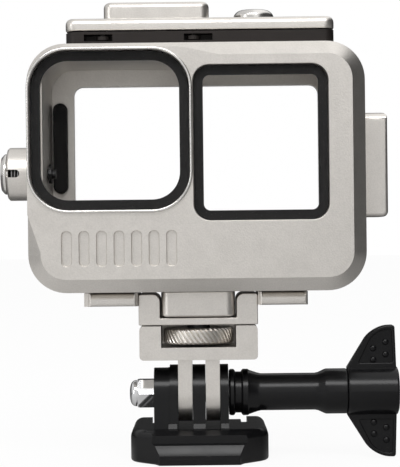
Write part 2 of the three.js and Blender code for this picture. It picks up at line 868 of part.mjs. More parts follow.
// Side button: barrel, cap, stem, spring, ring seal and clip. The barrel runs to the left.
function sideBarrel() {
  const profile = [
    [0, barrelOut],
    [barrelRadius - barrelChamfer, barrelOut],
    [barrelRadius, barrelOut + barrelChamfer],
    [barrelRadius, barrelIn],
    [0, barrelIn],
  ];
  const slotEnd = barrelOut + windowSlotLong;
  const slot = alongY(openSlot(barrelOut - overrun, slotEnd, windowSlot), -barrelRadius - overrun, 0);
  return cutBy(
    aboutX(profile, 0, sideButtonZ, fine),
    aboutX(rod(barrelBoreRadius, barrelOut - overrun, barrelIn - barrelFloor), 0, sideButtonZ, fine),
    aboutX(rod(stemRadius + fit, barrelOut, barrelIn + overrun), 0, sideButtonZ),
    slot,
  );
}

// A slot open at the left with a round right end
function openSlot(left, right, height) {
  const shape = new THREE.Shape();
  shape.moveTo(left, sideButtonZ - height / 2);
  shape.absarc(right - height / 2, sideButtonZ, height / 2, -Math.PI / 2, Math.PI / 2);
  shape.lineTo(left, sideButtonZ + height / 2);
  return shape;
}

function sideCap() {
  const out = barrelOut - sideCapProud;
  const inward = barrelOut + fit;
  const profile = [
    [0, out],
    [sideCapRadius - 2 * sideCapStep, out],
    [sideCapRadius - sideCapStep, out + sideCapStep],
    [sideCapRadius, out + sideCapStep],
    [sideCapRadius, inward],
    [0, inward],
  ];
  return cutBy(
    aboutX(profile, 0, sideButtonZ, fine),
    aboutX(rod(stemRadius + fit, barrelOut - sideCapProud / 2, inward + overrun), 0, sideButtonZ),
  );
}

function sideStem() {
  const out = barrelOut - sideCapProud / 2 + fit;
  return aboutX(rod(stemRadius, out, -bodySide + sideWall + stemReach), 0, sideButtonZ);
}

function sideClip() {
  const left = -bodySide + sideWall + fit;
  const clip = sleeve(stemRadius + clipGap, clipRadius, left, left + clipThick);
  return aboutX(clip, 0, sideButtonZ);
}

function sideRing() {
  const left = -bodySide + fit;
  return aboutX(ringSection(left, left + ringThick), 0, sideButtonZ);
}

function sideSpring() {
  const low = barrelOut + 2 * fit;
  const high = barrelIn - barrelFloor - fit;
  const spring = coilSpring(sideSpringRadius, wireThick, low, high);
  return toSolid(spring.rotateY(Math.PI / 2).translate(0, 0, sideButtonZ));
}

// Rails, boss and saddle
function rail(side) {
  const near = saddleWidth / 2 + fit;
  const low = bodyLow - fit - railThick;
  const high = bodyLow - fit;
  const x0 = side < 0 ? -railReach : near;
  const x1 = side < 0 ? -near : railReach;
  const middle = (x0 + x1) / 2;
  const bar = alongZ(roundedRect(x1 - x0, 2 * railHalfDepth, railRound, middle, 0), low, high);
  return cutBy(
    bar,
    aboutZ(rod(railScrewRadius + fit, low - overrun, high + overrun), middle, 0),
    aboutZ(rod(railScrewHead + fit, low - overrun, low + railScrewRadius), middle, 0),
  );
}

function railScrew(side) {
  const middle = (side * (railReach + saddleWidth / 2 + fit)) / 2;
  const low = bodyLow - fit - railThick;
  return joined(
    aboutZ(rod(railScrewHead, low, low + railScrewRadius - fit), middle, 0),
    aboutZ(rod(railScrewRadius, low + railScrewRadius - 2 * fit, bodyLow - fit), middle, 0),
  );
}

function tripodBoss() {
  return cutBy(
    alongZ(roundedRect(bossWidth, 2 * bossHalfDepth, bossRound), bossLow, bossTop),
    aboutZ(rod(studRadius + fit, bossLow - overrun, bossLow + studReach + fit), 0, 0),
  );
}

function saddleBracket() {
  const ear = (side) => {
    const inner = saddleWidth / 2 - earWidth;
    const middle = side * (inner + earWidth / 2);
    const outline = roundedRect(earWidth, 2 * saddleHalfDepth, earRound / 2, middle, 0);
    return alongZ(outline, saddleLow, bodyLow - earTop);
  };
  const web = alongZ(roundedRect(saddleWidth, 2 * saddleHalfDepth, earRound / 2), saddleLow, saddleTop);
  return cutBy(
    joined(web, ear(-1), ear(1)),
    aboutZ(rod(studRadius + fit, saddleLow - overrun, saddleTop + overrun), 0, 0),
    ...[-1, 1].map((side) => forkScrewBore(side, saddleLow - overrun, saddleTop + overrun)),
  );
}

function forkScrewBore(side, low, high) {
  return aboutZ(rod(forkScrewRadius + fit, low, high), side * forkScrewOut, 0);
}

// Fork block with its wheel window and two prongs
function prong(x, thick, low, high) {
  const post = circle(prongRadius, 0, axisHeight);
  return joined(
    alongX(post, x - thick / 2, x + thick / 2, coarse),
    box(x - thick / 2, x + thick / 2, -prongRadius, prongRadius, low, high),
  );
}

function screwBore() {
  return aboutX(rod(screwRadius + fit, -bodyWidth, bodyWidth), 0, axisHeight);
}

function forkBlock() {
  const outline = roundedRect(forkWidth, forkHeight, forkRound, 0, (forkLow + forkTop) / 2);
  const windowBack = wheelRadius + fit;
  const block = alongY(outline, -forkHalfDepth, windowBack + forkRearWall);
  const window = box(
    -wheelWindow / 2,
    wheelWindow / 2,
    -forkHalfDepth - overrun,
    windowBack,
    forkLow + forkFloor,
    forkTop + overrun,
  );
  const reach = forkLow + forkFloor / 2;
  const prongs = [-1, 1].map((side) => prong(side * forkProngX, forkProng, axisHeight, reach));
  const solid = joined(cutBy(block, window), ...prongs);
  const headCut = rod(forkScrewHead + fit, forkLow - overrun, forkLow + forkScrewHead);
  const screwCuts = [-1, 1].flatMap((side) => [
    forkScrewBore(side, forkLow - overrun, forkTop + overrun),
    aboutZ(headCut, side * forkScrewOut, 0),
  ]);
  return cutBy(solid, screwBore(), ...screwCuts);
}

function forkScrew(side) {
  const x = side * forkScrewOut;
  return joined(
    aboutZ(rod(forkScrewHead, forkLow, forkLow + forkScrewHead - fit), x, 0),
    aboutZ(rod(forkScrewRadius, forkLow + forkScrewHead - 2 * fit, saddleTop), x, 0),
  );
}

// Knurled wheel: a toothed ring whose teeth lean, with the stud's bore
function knurledWheel() {
  const low = forkLow + forkFloor + (forkHeight - forkFloor - wheelThick) / 2;
  const count = wheelTeeth * 2;
  const ring = (turn) => {
    const points = [];
    for (let i = 0; i < count; i += 1) {
      const angle = ((i + turn) / count) * Math.PI * 2;
      const radius = i % 2 ? wheelRadius : wheelRadius - wheelToothDepth;
      points.push(new THREE.Vector2(radius * Math.cos(angle), radius * Math.sin(angle)));
    }
    return points;
  };
  const lean = (wheelSlant / (Math.PI * 2)) * count;
  const body = lofted(ring(0), -wheelThick / 2, ring(lean), wheelThick / 2);
  const upright = toGeometry(body).rotateX(Math.PI / 2).translate(0, 0, low + wheelThick / 2);
  const bore = rod(studRadius + fit, low - overrun, low + wheelThick + overrun);
  return cutBy(toSolid(upright), aboutZ(bore, 0, 0));
}

function mountStud() {
  const low = forkLow + forkFloor + fit;
  return aboutZ(rod(studRadius, low, bossLow + studReach), 0, 0);
}

// Buckle: base with a scooped front, two sprung clip arms at the back, three prongs and the nut's house
function buckleBase() {
  const half = baseWidth / 2;
  const section = roundedRect(baseWidth, baseHeight, baseRound, 0, baseHeight / 2);
  const plan = polygon([
    [-noseWidth / 2, baseFront],
    [noseWidth / 2, baseFront],
    [half, baseFront + noseDepth],
    [half, baseBack],
    [-half, baseBack],
    [-half, baseFront + noseDepth],
  ]);
  const slope = polygon([
    [baseFront - noseSlope, baseHeight - 2 * noseDrop],
    [baseFront + noseSlope, baseHeight],
    [baseFront - noseSlope, baseHeight],
  ]);
  const block = alongY(section, baseFront, baseBack).intersect(alongZ(plan, -overrun, baseHeight + overrun));
  const scoop = polygon([
    [baseFront - overrun, baseFootCut],
    [baseFront + baseScoopDepth, baseFootCut + baseScoopDepth / 2],
    [baseFront + baseScoopDepth, baseScoopHigh - baseScoopDepth / 2],
    [baseFront - overrun, baseScoopHigh + baseScoopDepth / 2],
  ]);
  const slots = [-1, 1].map((side) => {
    const inner = side * (half - clipArm - clipSlot);
    const outer = side * (half - clipArm);
    const x0 = Math.min(inner, outer);
    const x1 = Math.max(inner, outer);
    return box(x0, x1, baseBack - clipSlotLong, baseBack + overrun, -overrun, baseHeight + overrun);
  });
  const rearCut = box(
    -half + clipArm + clipSlot - overrun,
    half - clipArm - clipSlot + overrun,
    baseBack - clipSlotLong / 2,
    baseBack + overrun,
    -overrun,
    baseHeight + overrun,
  );
  const foot = baseHeight / 2;
  const prongs = [
    prong(-outerProngX, outerProng, foot, axisHeight),
    prong(0, middleProng, foot, axisHeight),
    prong(outerProngX, outerProng, foot, axisHeight),
  ];
  const house = joined(
    alongX(circle(nutHouseRadius, 0, axisHeight), -nutHouseReach, -outerProngX, coarse),
    box(-nutHouseReach, -outerProngX, -nutHouseRadius, nutHouseRadius, foot, axisHeight),
  );
  return cutBy(
    joined(cutBy(block, alongX(slope, -half, half)), ...prongs, house),
    alongX(scoop, -baseScoopWidth / 2, baseScoopWidth / 2),
    ...slots,
    rearCut,
    screwBore(),
    alongX(hexagon(nutFlats + 2 * fit), -nutHouseReach - overrun, -nutHouseReach + nutHex),
  );
}

function hexagon(flats) {
  const shape = new THREE.Shape();
  const radius = flats / 2 / Math.cos(Math.PI / 6);
  for (let i = 0; i < 6; i += 1) {
    const angle = (i / 6) * Math.PI * 2;
    const y = radius * Math.cos(angle);
    const z = axisHeight + radius * Math.sin(angle);
    if (i === 0) {
      shape.moveTo(y, z);
    } else {
      shape.lineTo(y, z);
    }
  }
  return shape;
}

function domeNut() {
  const seat = -nutHouseReach + nutHex - fit;
  const shoulder = -nutHouseReach - nutHex;
  const tip = shoulder - nutDome;
  const points = [[0, tip]];
  for (let i = 1; i <= cornerSteps; i += 1) {
    const angle = (i / cornerSteps) * (Math.PI / 2);
    points.push([(nutFlats / 2) * Math.sin(angle), shoulder - nutDome * Math.cos(angle)]);
  }
  points.push([0, shoulder]);
  return cutBy(
    joined(alongX(hexagon(nutFlats), shoulder, seat), aboutX(points, 0, axisHeight)),
    aboutX(rod(screwRadius + fit, shoulder, seat + overrun), 0, axisHeight),
  );
}

// Thumb screw: steel shaft, moulded sleeve and winged knob
function screwSleeve() {
  const steps = [
    [collarRadius, collarOneLong],
    [grooveRadius, grooveLong],
    [collarRadius, collarTwoLong],
  ];
  const profile = [[0, sleeveStart]];
  let x = sleeveStart;
  steps.forEach(([radius, long]) => {
    profile.push([radius, x], [radius, x + long]);
    x += long;
  });
  x += taperLong;
  profile.push([sleeveRadius, x]);
  x += sleeveLong;
  profile.push([sleeveRadius, x]);
  x += flareLong;
  profile.push([drumRadius, x], [drumRadius, sleeveEnd], [0, sleeveEnd]);
  const bore = rod(screwRadius + fit, sleeveStart - overrun, sleeveEnd + overrun);
  return cutBy(aboutX(profile, 0, axisHeight, fine), aboutX(bore, 0, axisHeight));
}

// One wing's outline in X and Z above the axis, in shares of the hub's length and the wing's reach
const wingShares = [
  [-0.02, 0.12],
  [-0.02, 0.38],
  [0.17, 0.58],
  [0.36, 0.8],
  [0.5, 0.93],
  [0.66, 0.985],
  [0.8, 1],
  [0.93, 1],
  [0.95, 0.8],
  [0.965, 0.5],
  [0.98, 0.12],
];
const panelShares = [
  [0.34, 0.5],
  [0.44, 0.78],
  [0.6, 0.93],
  [0.84, 0.93],
  [0.87, 0.46],
  [0.7, 0.42],
];

function wingOutline(shares, side) {
  const points = shares.map(([along, out]) => [
    knobStart + along * hubLong,
    axisHeight + side * out * wingReach,
  ]);
  return polygon(side > 0 ? points : points.reverse());
}

function wingKnob() {
  const hub = aboutX(
    [
      [0, knobStart],
      [hubRadius - hubDome, knobStart],
      [hubRadius, knobStart + hubDome],
      [hubRadius, knobEnd - hubDome],
      [hubRadius - hubDome, knobEnd - hubCrown],
      [0, knobEnd],
    ],
    0,
    axisHeight,
    fine,
  );
  const wings = [-1, 1].map((side) => alongY(wingOutline(wingShares, side), -wingThick / 2, wingThick / 2));
  const panels = [-1, 1].map((side) =>
    alongY(wingOutline(panelShares, side), -wingThick, -wingThick / 2 + wingPanelDepth),
  );
  const bore = rod(screwRadius + fit, knobStart - overrun, knobStart + hubLong / 2);
  const sleeveSide = box(knobStart - hubLong, knobStart, -wingThick, wingThick, 0, bodyLow);
  const trimmed = wings.map((wing) => cutBy(wing, sleeveSide));
  return cutBy(joined(hub, ...trimmed), ...panels, aboutX(bore, 0, axisHeight));
}

function screwShaft() {
  const right = knobStart + hubLong / 2 - fit;
  return aboutX(rod(screwRadius, -nutHouseReach - nutHex + fit, right), 0, axisHeight);
}

// The assembly
const housing = new THREE.Group();

function add(name, solid, material) {
  const mesh = new THREE.Mesh(toGeometry(solid), material);
  mesh.name = name;
  housing.add(mesh);
}

const lensWindow = windowPieces(glassSize, glassSize, glassCorner, lensMaskWidth, lensX, lensZ);
const screenWindow = windowPieces(screenWidth, screenHeight, screenCorner, screenMaskWidth, screenX, screenZ);

add('front_shell', frontShell(), anodised);
add('lens_bezel', lensBezel(), bright);
add('lens_glass', lensWindow.glass, clearGlass);
add('lens_mask_ring', lensWindow.mask, rubber);
add('screen_glass', screenWindow.glass, clearGlass);
add('screen_mask_frame', screenWindow.mask, rubber);
add('door_seal', sealRing(shellBack - sealDepth + fit, shellBack + doorGap - fit, 0), rubber);
add('door_frame', doorFrame(), anodised);
add('door_glass', doorGlass(), clearGlass);
add('door_gasket', doorGasket(), rubber);
add('door_pad', doorPad(), rubber);
add('hinge_block', hingeBlock(), anodised);
add('hinge_pin', hingePin(), steel);
hingeScrewPlaces.forEach((place, i) => add(`hinge_screw_${i + 1}`, hingeScrew(place), steel));
add('top_spacer', topSpacer(), darkMetal);
add('top_plate', topPlate(), anodised);
add('pocket_screw_left', pocketScrew(plateScrewPlaces[0]), darkMetal);
add('pocket_screw_right', pocketScrew(plateScrewPlaces[1]), darkMetal);
add('latch_slider', latchSlider(), anodised);
add('latch_key', latchKey(), steel);
add('shutter_cap', shutterCap(), bright);
add('shutter_stem', shutterStem(), steel);
add('shutter_clip', shutterClip(), steel);
add('shutter_ring', shutterRing(), rubber);
add('shutter_spring', shutterSpring(), steel);
add('side_barrel', sideBarrel(), anodised);
add('side_cap', sideCap(), bright);
add('side_stem', sideStem(), steel);
add('side_clip', sideClip(), steel);
add('side_ring', sideRing(), rubber);
add('side_spring', sideSpring(), steel);
add('rail_left', rail(-1), anodised);
add('rail_right', rail(1), anodised);
add('rail_screw_left', railScrew(-1), steel);
add('rail_screw_right', railScrew(1), steel);
add('tripod_boss', tripodBoss(), anodised);
add('saddle_bracket', saddleBracket(), anodised);
add('fork_block', forkBlock(), anodised);
add('fork_screw_left', forkScrew(-1), steel);
add('fork_screw_right', forkScrew(1), steel);
add('knurled_wheel', knurledWheel(), anodised);
add('mount_stud', mountStud(), steel);
add('buckle_base', buckleBase(), blackPlastic);
add('dome_nut', domeNut(), chrome);
add('screw_shaft', screwShaft(), steel);
add('screw_sleeve', screwSleeve(), blackPlastic);
add('wing_knob', wingKnob(), blackPlastic);

export default housing;
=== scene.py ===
"""Underwater camera housing: the looks of every piece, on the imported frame."""

import json
import math
import bmesh
import bpy
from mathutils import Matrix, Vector


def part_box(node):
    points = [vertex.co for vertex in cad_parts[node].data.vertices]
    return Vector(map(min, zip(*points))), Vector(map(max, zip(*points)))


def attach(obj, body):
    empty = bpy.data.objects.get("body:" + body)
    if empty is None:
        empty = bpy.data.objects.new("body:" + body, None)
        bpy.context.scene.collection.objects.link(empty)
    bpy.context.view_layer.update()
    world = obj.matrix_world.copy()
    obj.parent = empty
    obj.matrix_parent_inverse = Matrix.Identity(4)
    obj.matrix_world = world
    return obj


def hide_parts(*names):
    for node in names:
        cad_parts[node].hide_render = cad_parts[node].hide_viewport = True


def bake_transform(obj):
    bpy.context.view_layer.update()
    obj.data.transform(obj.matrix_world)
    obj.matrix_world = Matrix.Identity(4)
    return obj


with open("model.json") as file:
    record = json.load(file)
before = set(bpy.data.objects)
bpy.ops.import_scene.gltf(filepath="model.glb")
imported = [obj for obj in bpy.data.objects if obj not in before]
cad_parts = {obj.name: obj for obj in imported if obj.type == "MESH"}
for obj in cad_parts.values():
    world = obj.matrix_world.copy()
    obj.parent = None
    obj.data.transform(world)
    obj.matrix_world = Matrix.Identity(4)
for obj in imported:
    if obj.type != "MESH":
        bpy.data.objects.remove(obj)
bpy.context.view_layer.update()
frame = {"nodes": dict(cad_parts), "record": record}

bl_info = {
    "name": "Underwater Camera Housing",
    "version": (1, 0, 0),
    "blender": (4, 5, 0),
    "location": "3D View > Sidebar > Housing",
    "description": "Models and finishes the pieces of a metal dive housing on a tilting mount",
    "category": "Object",
}

MM = 0.001
AXES = {"X": 0, "Y": 1, "Z": 2}

# How close a corner lies to a rim that it belongs to
NEAR = 0.01 * MM

# How much smaller the lens window's corners are than the bezel's
LENS_INSET = 1.1 * MM

# Slot and body of each CAD node
SLOTS = {entry["node"]: entry["material_slot"] for entry in frame["record"]["subparts"]}
BODIES = {node: body for body, nodes in frame["record"]["behaviour"]["bodies"].items() for node in nodes}

# Places that follow the frame
SHELL_LOW, SHELL_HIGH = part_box("front_shell")
DOOR_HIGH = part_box("door_frame")[1]
BEZEL_LOW, BEZEL_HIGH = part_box("lens_bezel")
LENS_LOW, LENS_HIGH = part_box("lens_glass")
SCREEN_LOW, SCREEN_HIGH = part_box("screen_glass")
SCREW_AXIS = (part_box("screw_shaft")[0].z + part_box("screw_shaft")[1].z) / 2
TILT_AXIS = Vector((0, 0, SCREW_AXIS))


def length(name, description, value):
    """A size given in millimetres"""
    return bpy.props.FloatProperty(name=name, description=description, default=value * MM, unit="LENGTH")


def tint(name, description, value):
    """A colour of a finish"""
    return bpy.props.FloatVectorProperty(
        name=name, description=description, default=value, subtype="COLOR", size=3
    )


class HousingSizes(bpy.types.PropertyGroup):
    """Sizes that the CAD frame doesn't give"""

    body_corner: length("Body corner", "Radius of the body's corners", 10)
    front_chamfer: length("Front chamfer", "Width of the chamfer round the front", 3.5)
    side_wall: length("Side wall", "Thickness of the shell's sides", 3.8)
    front_wall: length("Front wall", "Thickness of the shell's front", 4.2)
    seat_depth: length("Window seat", "Depth of the pocket for a window", 3)
    lens_corner: length("Lens corner", "Radius of the bezel's corners", 10.5)
    screen_corner: length("Screen corner", "Radius of the screen's corners", 4)
    mask_width: length("Mask width", "Width of the black band round a window", 2.5)
    edge: length("Broken edge", "Width of the rounding on machined edges", 0.3)
    rear_corner: length("Door opening corner", "Radius of the rear opening", 2.5)
    plate_corner: length("Plate corner", "Radius of the top plate's corners", 2.64)
    plate_rim: length("Plate rim", "Rounding of the plate's upper rim", 1.6)
    latch_corner: length("Latch corner", "Radius of the latch's upright edges", 2.4)
    latch_rim: length("Latch rim", "Rounding of the latch's upper rim", 1.5)
    latch_travel: length("Latch travel", "How far the latch slides", 7)
    lip_depth: length("Lip depth", "Depth of the latch's lip above the door", 3.6)
    shutter_sink: length("Shutter sink", "Depth of the cup round the shutter button", 2)
    ear_width: length("Ear width", "Thickness of the saddle's ears", 5.6)
    ear_round: length("Ear rounding", "Radius of the ears' inner top edges", 1.9)
    boss_corner: length("Boss corner", "Radius of the boss's upright edges", 2.5)
    barrel_floor: length("Barrel floor", "Metal at the inner end of the side barrel", 1.8)
    slot_length: length("Slot length", "Slot that shows the side spring", 3.5)
    slot_height: length("Slot height", "Height of that slot", 2)
    spring_wire: length("Spring wire", "Thickness of the springs' wire", 0.4)
    spring_pitch: length("Spring pitch", "From one coil to the next", 0.85)
    teeth: bpy.props.IntProperty(name="Teeth", description="Ridges round the wheel", default=42, min=8)
    tooth_depth: length("Tooth depth", "Depth of the grooves in the wheel", 0.45)
    tooth_lean: bpy.props.FloatProperty(
        name="Tooth lean", description="Sideways run of a ridge for its height", default=0.7
    )
    fork_outer: length("Fork outer face", "From the middle to a prong's outer face", 5.3)
    fork_inner: length("Fork inner face", "From the middle to a prong's inner face", 2)
    fork_closing: length("Fork closing", "How far the prongs close their gaps", 0.22)
    brow: length("Hinge brow", "Radius along the hinge's upper front", 2.4)
    overhang: length("Overhang", "How far the top pieces reach past the CAD's", 0.4)
    clearance: length("Clearance", "Gap between neighbouring pieces", 0.3)


class HousingColours(bpy.types.PropertyGroup):
    """Colours of the finishes, as the light shows them"""

    anodised: tint("Anodised metal", "Champagne silver of the blasted metal", (0.81, 0.775, 0.73))
    anodised_deep: tint("Anodised shade", "Darker tone in the metal's mottle", (0.73, 0.698, 0.655))
    bright: tint("Bright metal", "Turned and chamfered metal", (0.82, 0.80, 0.77))
    # Painted shade: this brown-black stands for the plate's underside in shadow, on the spacer under the
    # plate
    dark_metal: tint("Dark metal", "Brown-black spacer under the plate", (0.026, 0.021, 0.019))
    plastic: tint("Black plastic", "Glossy moulded plastic", (0.0045, 0.0045, 0.005))
    rubber: tint("Rubber", "Seals, masks and pads", (0.006, 0.0055, 0.0055))
    steel: tint("Steel", "Screws, pins and springs", (0.55, 0.55, 0.56))
    chrome: tint("Chrome", "Dome nut", (0.92, 0.92, 0.93))
    backdrop: tint("Backdrop", "Floor and background", (1.0, 1.0, 1.0))


def sizes():
    return bpy.context.scene.housing_sizes


def colours():
    return bpy.context.scene.housing_colours


# Modelling by hand, in code


def clear_selection():
    active = bpy.context.view_layer.objects.active
    if active and active.mode != "OBJECT":
        bpy.ops.object.mode_set(mode="OBJECT")
    bpy.ops.object.select_all(action="DESELECT")


def take(piece):
    clear_selection()
    piece.select_set(True)
    bpy.context.view_layer.objects.active = piece


def settle(piece):
    """Puts the object's place into its mesh"""
    take(piece)
    bpy.ops.object.transform_apply(location=True, rotation=True, scale=True)


def made(name, scale=(1, 1, 1)):
    """Names the new primitive and puts its place and scale into its mesh"""
    piece = bpy.context.object
    piece.name = name
    piece.scale = scale
    settle(piece)
    return piece


def block(name, low, high):
    clear_selection()
    low, high = Vector(low), Vector(high)
    bpy.ops.mesh.primitive_cube_add(size=1, location=(low + high) / 2)
    return made(name, high - low)


def edit_all(kind):
    """Edit mode with everything selected"""
    bpy.ops.object.mode_set(mode="EDIT")
    bpy.ops.mesh.select_mode(type=kind)
    bpy.ops.mesh.select_all(action="SELECT")


def close_up():
    """Turns all faces outwards and leaves edit mode"""
    bpy.ops.mesh.select_all(action="SELECT")
    bpy.ops.mesh.normals_make_consistent(inside=False)
    leave_edit()


def pull(move):
    bpy.ops.mesh.extrude_region_move(TRANSFORM_OT_translate={"value": move})


def step_along(axis, by):
    move = Vector((0, 0, 0))
    move[AXES[axis]] = by
    return move


def select_edges(piece, test):
    take(piece)
    bpy.ops.object.mode_set(mode="EDIT")
    bpy.ops.mesh.select_mode(type="EDGE")
    bpy.ops.mesh.select_all(action="DESELECT")
    mesh = bmesh.from_edit_mesh(piece.data)
    for edge in mesh.edges:
        edge.select_set(test(edge.verts[0].co, edge.verts[1].co))
    bmesh.update_edit_mesh(piece.data)


def leave_edit():
    bpy.ops.object.mode_set(mode="OBJECT")


def round_along(piece, axis, radius, steps, keep=None):
    """Rounds the edges that run along an axis, or those of them that keep() accepts"""
    i = AXES[axis]

    def runs(a, b):
        way = b - a
        along = abs(way[i]) > 0.99 * way.length
        return along and (keep is None or keep((a + b) / 2))

    select_edges(piece, runs)
    bpy.ops.mesh.bevel(offset=radius, segments=steps, affect="EDGES", profile=0.5)
    leave_edit()


def round_rim(piece, axis, at, width, steps=1, keep=None):
    """Chamfers or rounds the rims at one place on an axis, or those of them that keep() accepts"""
    i = AXES[axis]

    def on_rim(a, b):
        level = abs(a[i] - at) < NEAR and abs(b[i] - at) < NEAR
        return level and (keep is None or keep((a + b) / 2))

    select_edges(piece, on_rim)
    bpy.ops.mesh.bevel(offset=width, segments=steps, affect="EDGES", profile=0.5)
    leave_edit()


def stretch(piece, axis, at, by):
    """Moves the end that lies at one place on an axis"""
    i = AXES[axis]
    select_edges(piece, lambda a, b: abs(a[i] - at) < NEAR and abs(b[i] - at) < NEAR)
    bpy.ops.transform.translate(value=step_along(axis, by))
    leave_edit()


def rounded_block(name, low, high, axis, radius, steps=12):
    piece = block(name, low, high)
    round_along(piece, axis, radius, steps)
    return piece


def combine(piece, other, how):
    take(piece)
    step = piece.modifiers.new("combine", "BOOLEAN")
    step.operation = how
    step.solver = "EXACT"
    step.object = other
    bpy.ops.object.modifier_apply(modifier=step.name)
    bpy.data.objects.remove(other, do_unlink=True)


def cut(piece, *cutters):
    for cutter in cutters:
        combine(piece, cutter, "DIFFERENCE")


def fuse(piece, *others):
    for other in others:
        combine(piece, other, "UNION")


def tidy_mesh(piece):
    """Merges corners that meet and makes flat faces whole"""
    take(piece)
    edit_all("VERT")
    bpy.ops.mesh.remove_doubles(threshold=0.002 * MM)
    bpy.ops.mesh.dissolve_limited(angle_limit=math.radians(0.6))
    leave_edit()


def break_edges(piece, width, steps, angle):
    """Rounds every edge sharper than an angle, and clears the slivers that this leaves"""
    take(piece)
    step = piece.modifiers.new("edges", "BEVEL")
    step.width = width
    step.segments = steps
    step.limit_method = "ANGLE"
    step.angle_limit = math.radians(angle)
    step.use_clamp_overlap = True
    bpy.ops.object.modifier_apply(modifier=step.name)
    edit_all("VERT")
    bpy.ops.mesh.dissolve_degenerate(threshold=0.001 * MM)
    leave_edit()


def soften(piece, width, steps=2, angle=28):
    """Breaks the sharp edges and smooths the rest"""
    break_edges(piece, width, steps, angle)
    smooth(piece, angle)


def smooth(piece, angle):
    """Smooth shading that leaves the large flat faces flat"""
    take(piece)
    bpy.ops.object.shade_smooth_by_angle(angle=math.radians(angle))
    step = piece.modifiers.new("normals", "WEIGHTED_NORMAL")
    step.weight = 100
    step.keep_sharp = True
    bpy.ops.object.modifier_apply(modifier=step.name)


def turned(name, profile, axis, centre, steps=64):
    """A turned piece: a disc pulled along its axis and resized at each step of (radius, place on the axis)"""
    clear_selection()
    i = AXES[axis]
    turn = {"X": (0, math.pi / 2, 0), "Y": (math.pi / 2, 0, 0), "Z": (0, 0, 0)}[axis]
    place = Vector(centre)
    place[i] = profile[0][1]
    bpy.ops.mesh.primitive_circle_add(
        vertices=steps, radius=profile[0][0], fill_type="NGON", location=place, rotation=turn
    )
    piece = made(name)
    edit_all("FACE")
    for (r0, h0), (r1, h1) in zip(profile, profile[1:]):
        pull(step_along(axis, h1 - h0))
        place[i] = h1
        share = r1 / r0
        scale = [share, share, share]
        scale[i] = 1
        bpy.ops.transform.resize(value=scale, center_override=place)
    bpy.ops.mesh.select_all(action="SELECT")
    bpy.ops.mesh.remove_doubles(threshold=0.0005 * MM)
    close_up()
    return piece


def drill(piece, axis, centre, radius, start, end, steps=64):
    cut(piece, turned("cutter", [(radius, start), (radius, end)], axis, centre, steps))


def middle_of(node):
    low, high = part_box(node)
    return (low + high) / 2


def radius_of(node, axis="Y"):
    """Half of a round piece's width across one axis"""
    low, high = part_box(node)
    return (high[AXES[axis]] - low[AXES[axis]]) / 2


def copy_of(node, name):
    """A merged copy of a CAD node's mesh, with its flat faces whole again"""
    source = frame["nodes"][node]
    clear_selection()
    piece = source.copy()
    piece.data = source.data.copy()
    piece.name = name
    bpy.context.scene.collection.objects.link(piece)
    world = source.matrix_world.copy()
    piece.parent = None
    piece.matrix_world = world
    piece.hide_viewport = False
    piece.hide_render = False
    settle(piece)
    tidy_mesh(piece)
    return piece


def dress(piece, node, material=None):
    """Gives a piece its finish and puts it in the place of its CAD node"""
    piece.data.materials.clear()
    piece.data.materials.append(material or FINISHES[SLOTS[node]]())
    for face in piece.data.polygons:
        face.material_index = 0
    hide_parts(node)


def finish_piece(piece, node, edge=0, steps=2, angle=28):
    """Breaks a piece's edges where a width is given, and puts it on its body with its finish"""
    if edge:
        soften(piece, edge, steps, angle)
    dress(piece, node)
    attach(piece, BODIES[node])
    clear_selection()


def paint_shade_faces(piece, material, test):
    """Gives the faces that test() accepts a second material: the painted shade inside the hollow"""
    piece.data.materials.append(material)
    for face in piece.data.polygons:
        if test(face.center, face.normal):
            face.material_index = 1


# Shader effects that several finishes share


def live(sockets, name):
    """The socket of that name that the node's present kind uses"""
    return next(socket for socket in sockets if socket.name == name and socket.enabled)


def new_node(tree, kind, inputs=None, **settings):
    """A node with its settings, its inputs given values or linked from sockets"""
    node = tree.nodes.new(kind)
    for name, value in settings.items():
        setattr(node, name, value)
    for name, value in (inputs or {}).items():
        socket = node.inputs[name] if isinstance(name, int) else live(node.inputs, name)
        if isinstance(value, bpy.types.NodeSocket):
            tree.links.new(value, socket)
        else:
            socket.default_value = value
    return node


def math_node(tree, operation, *values):
    return new_node(tree, "ShaderNodeMath", dict(enumerate(values)), operation=operation).outputs[0]


def colour_mix(tree, factor, a, b):
    inputs = {"Factor": factor, "A": a, "B": b}
    return live(new_node(tree, "ShaderNodeMix", inputs, data_type="RGBA").outputs, "Result")


def object_place(tree):
    return new_node(tree, "ShaderNodeTexCoord").outputs["Object"]


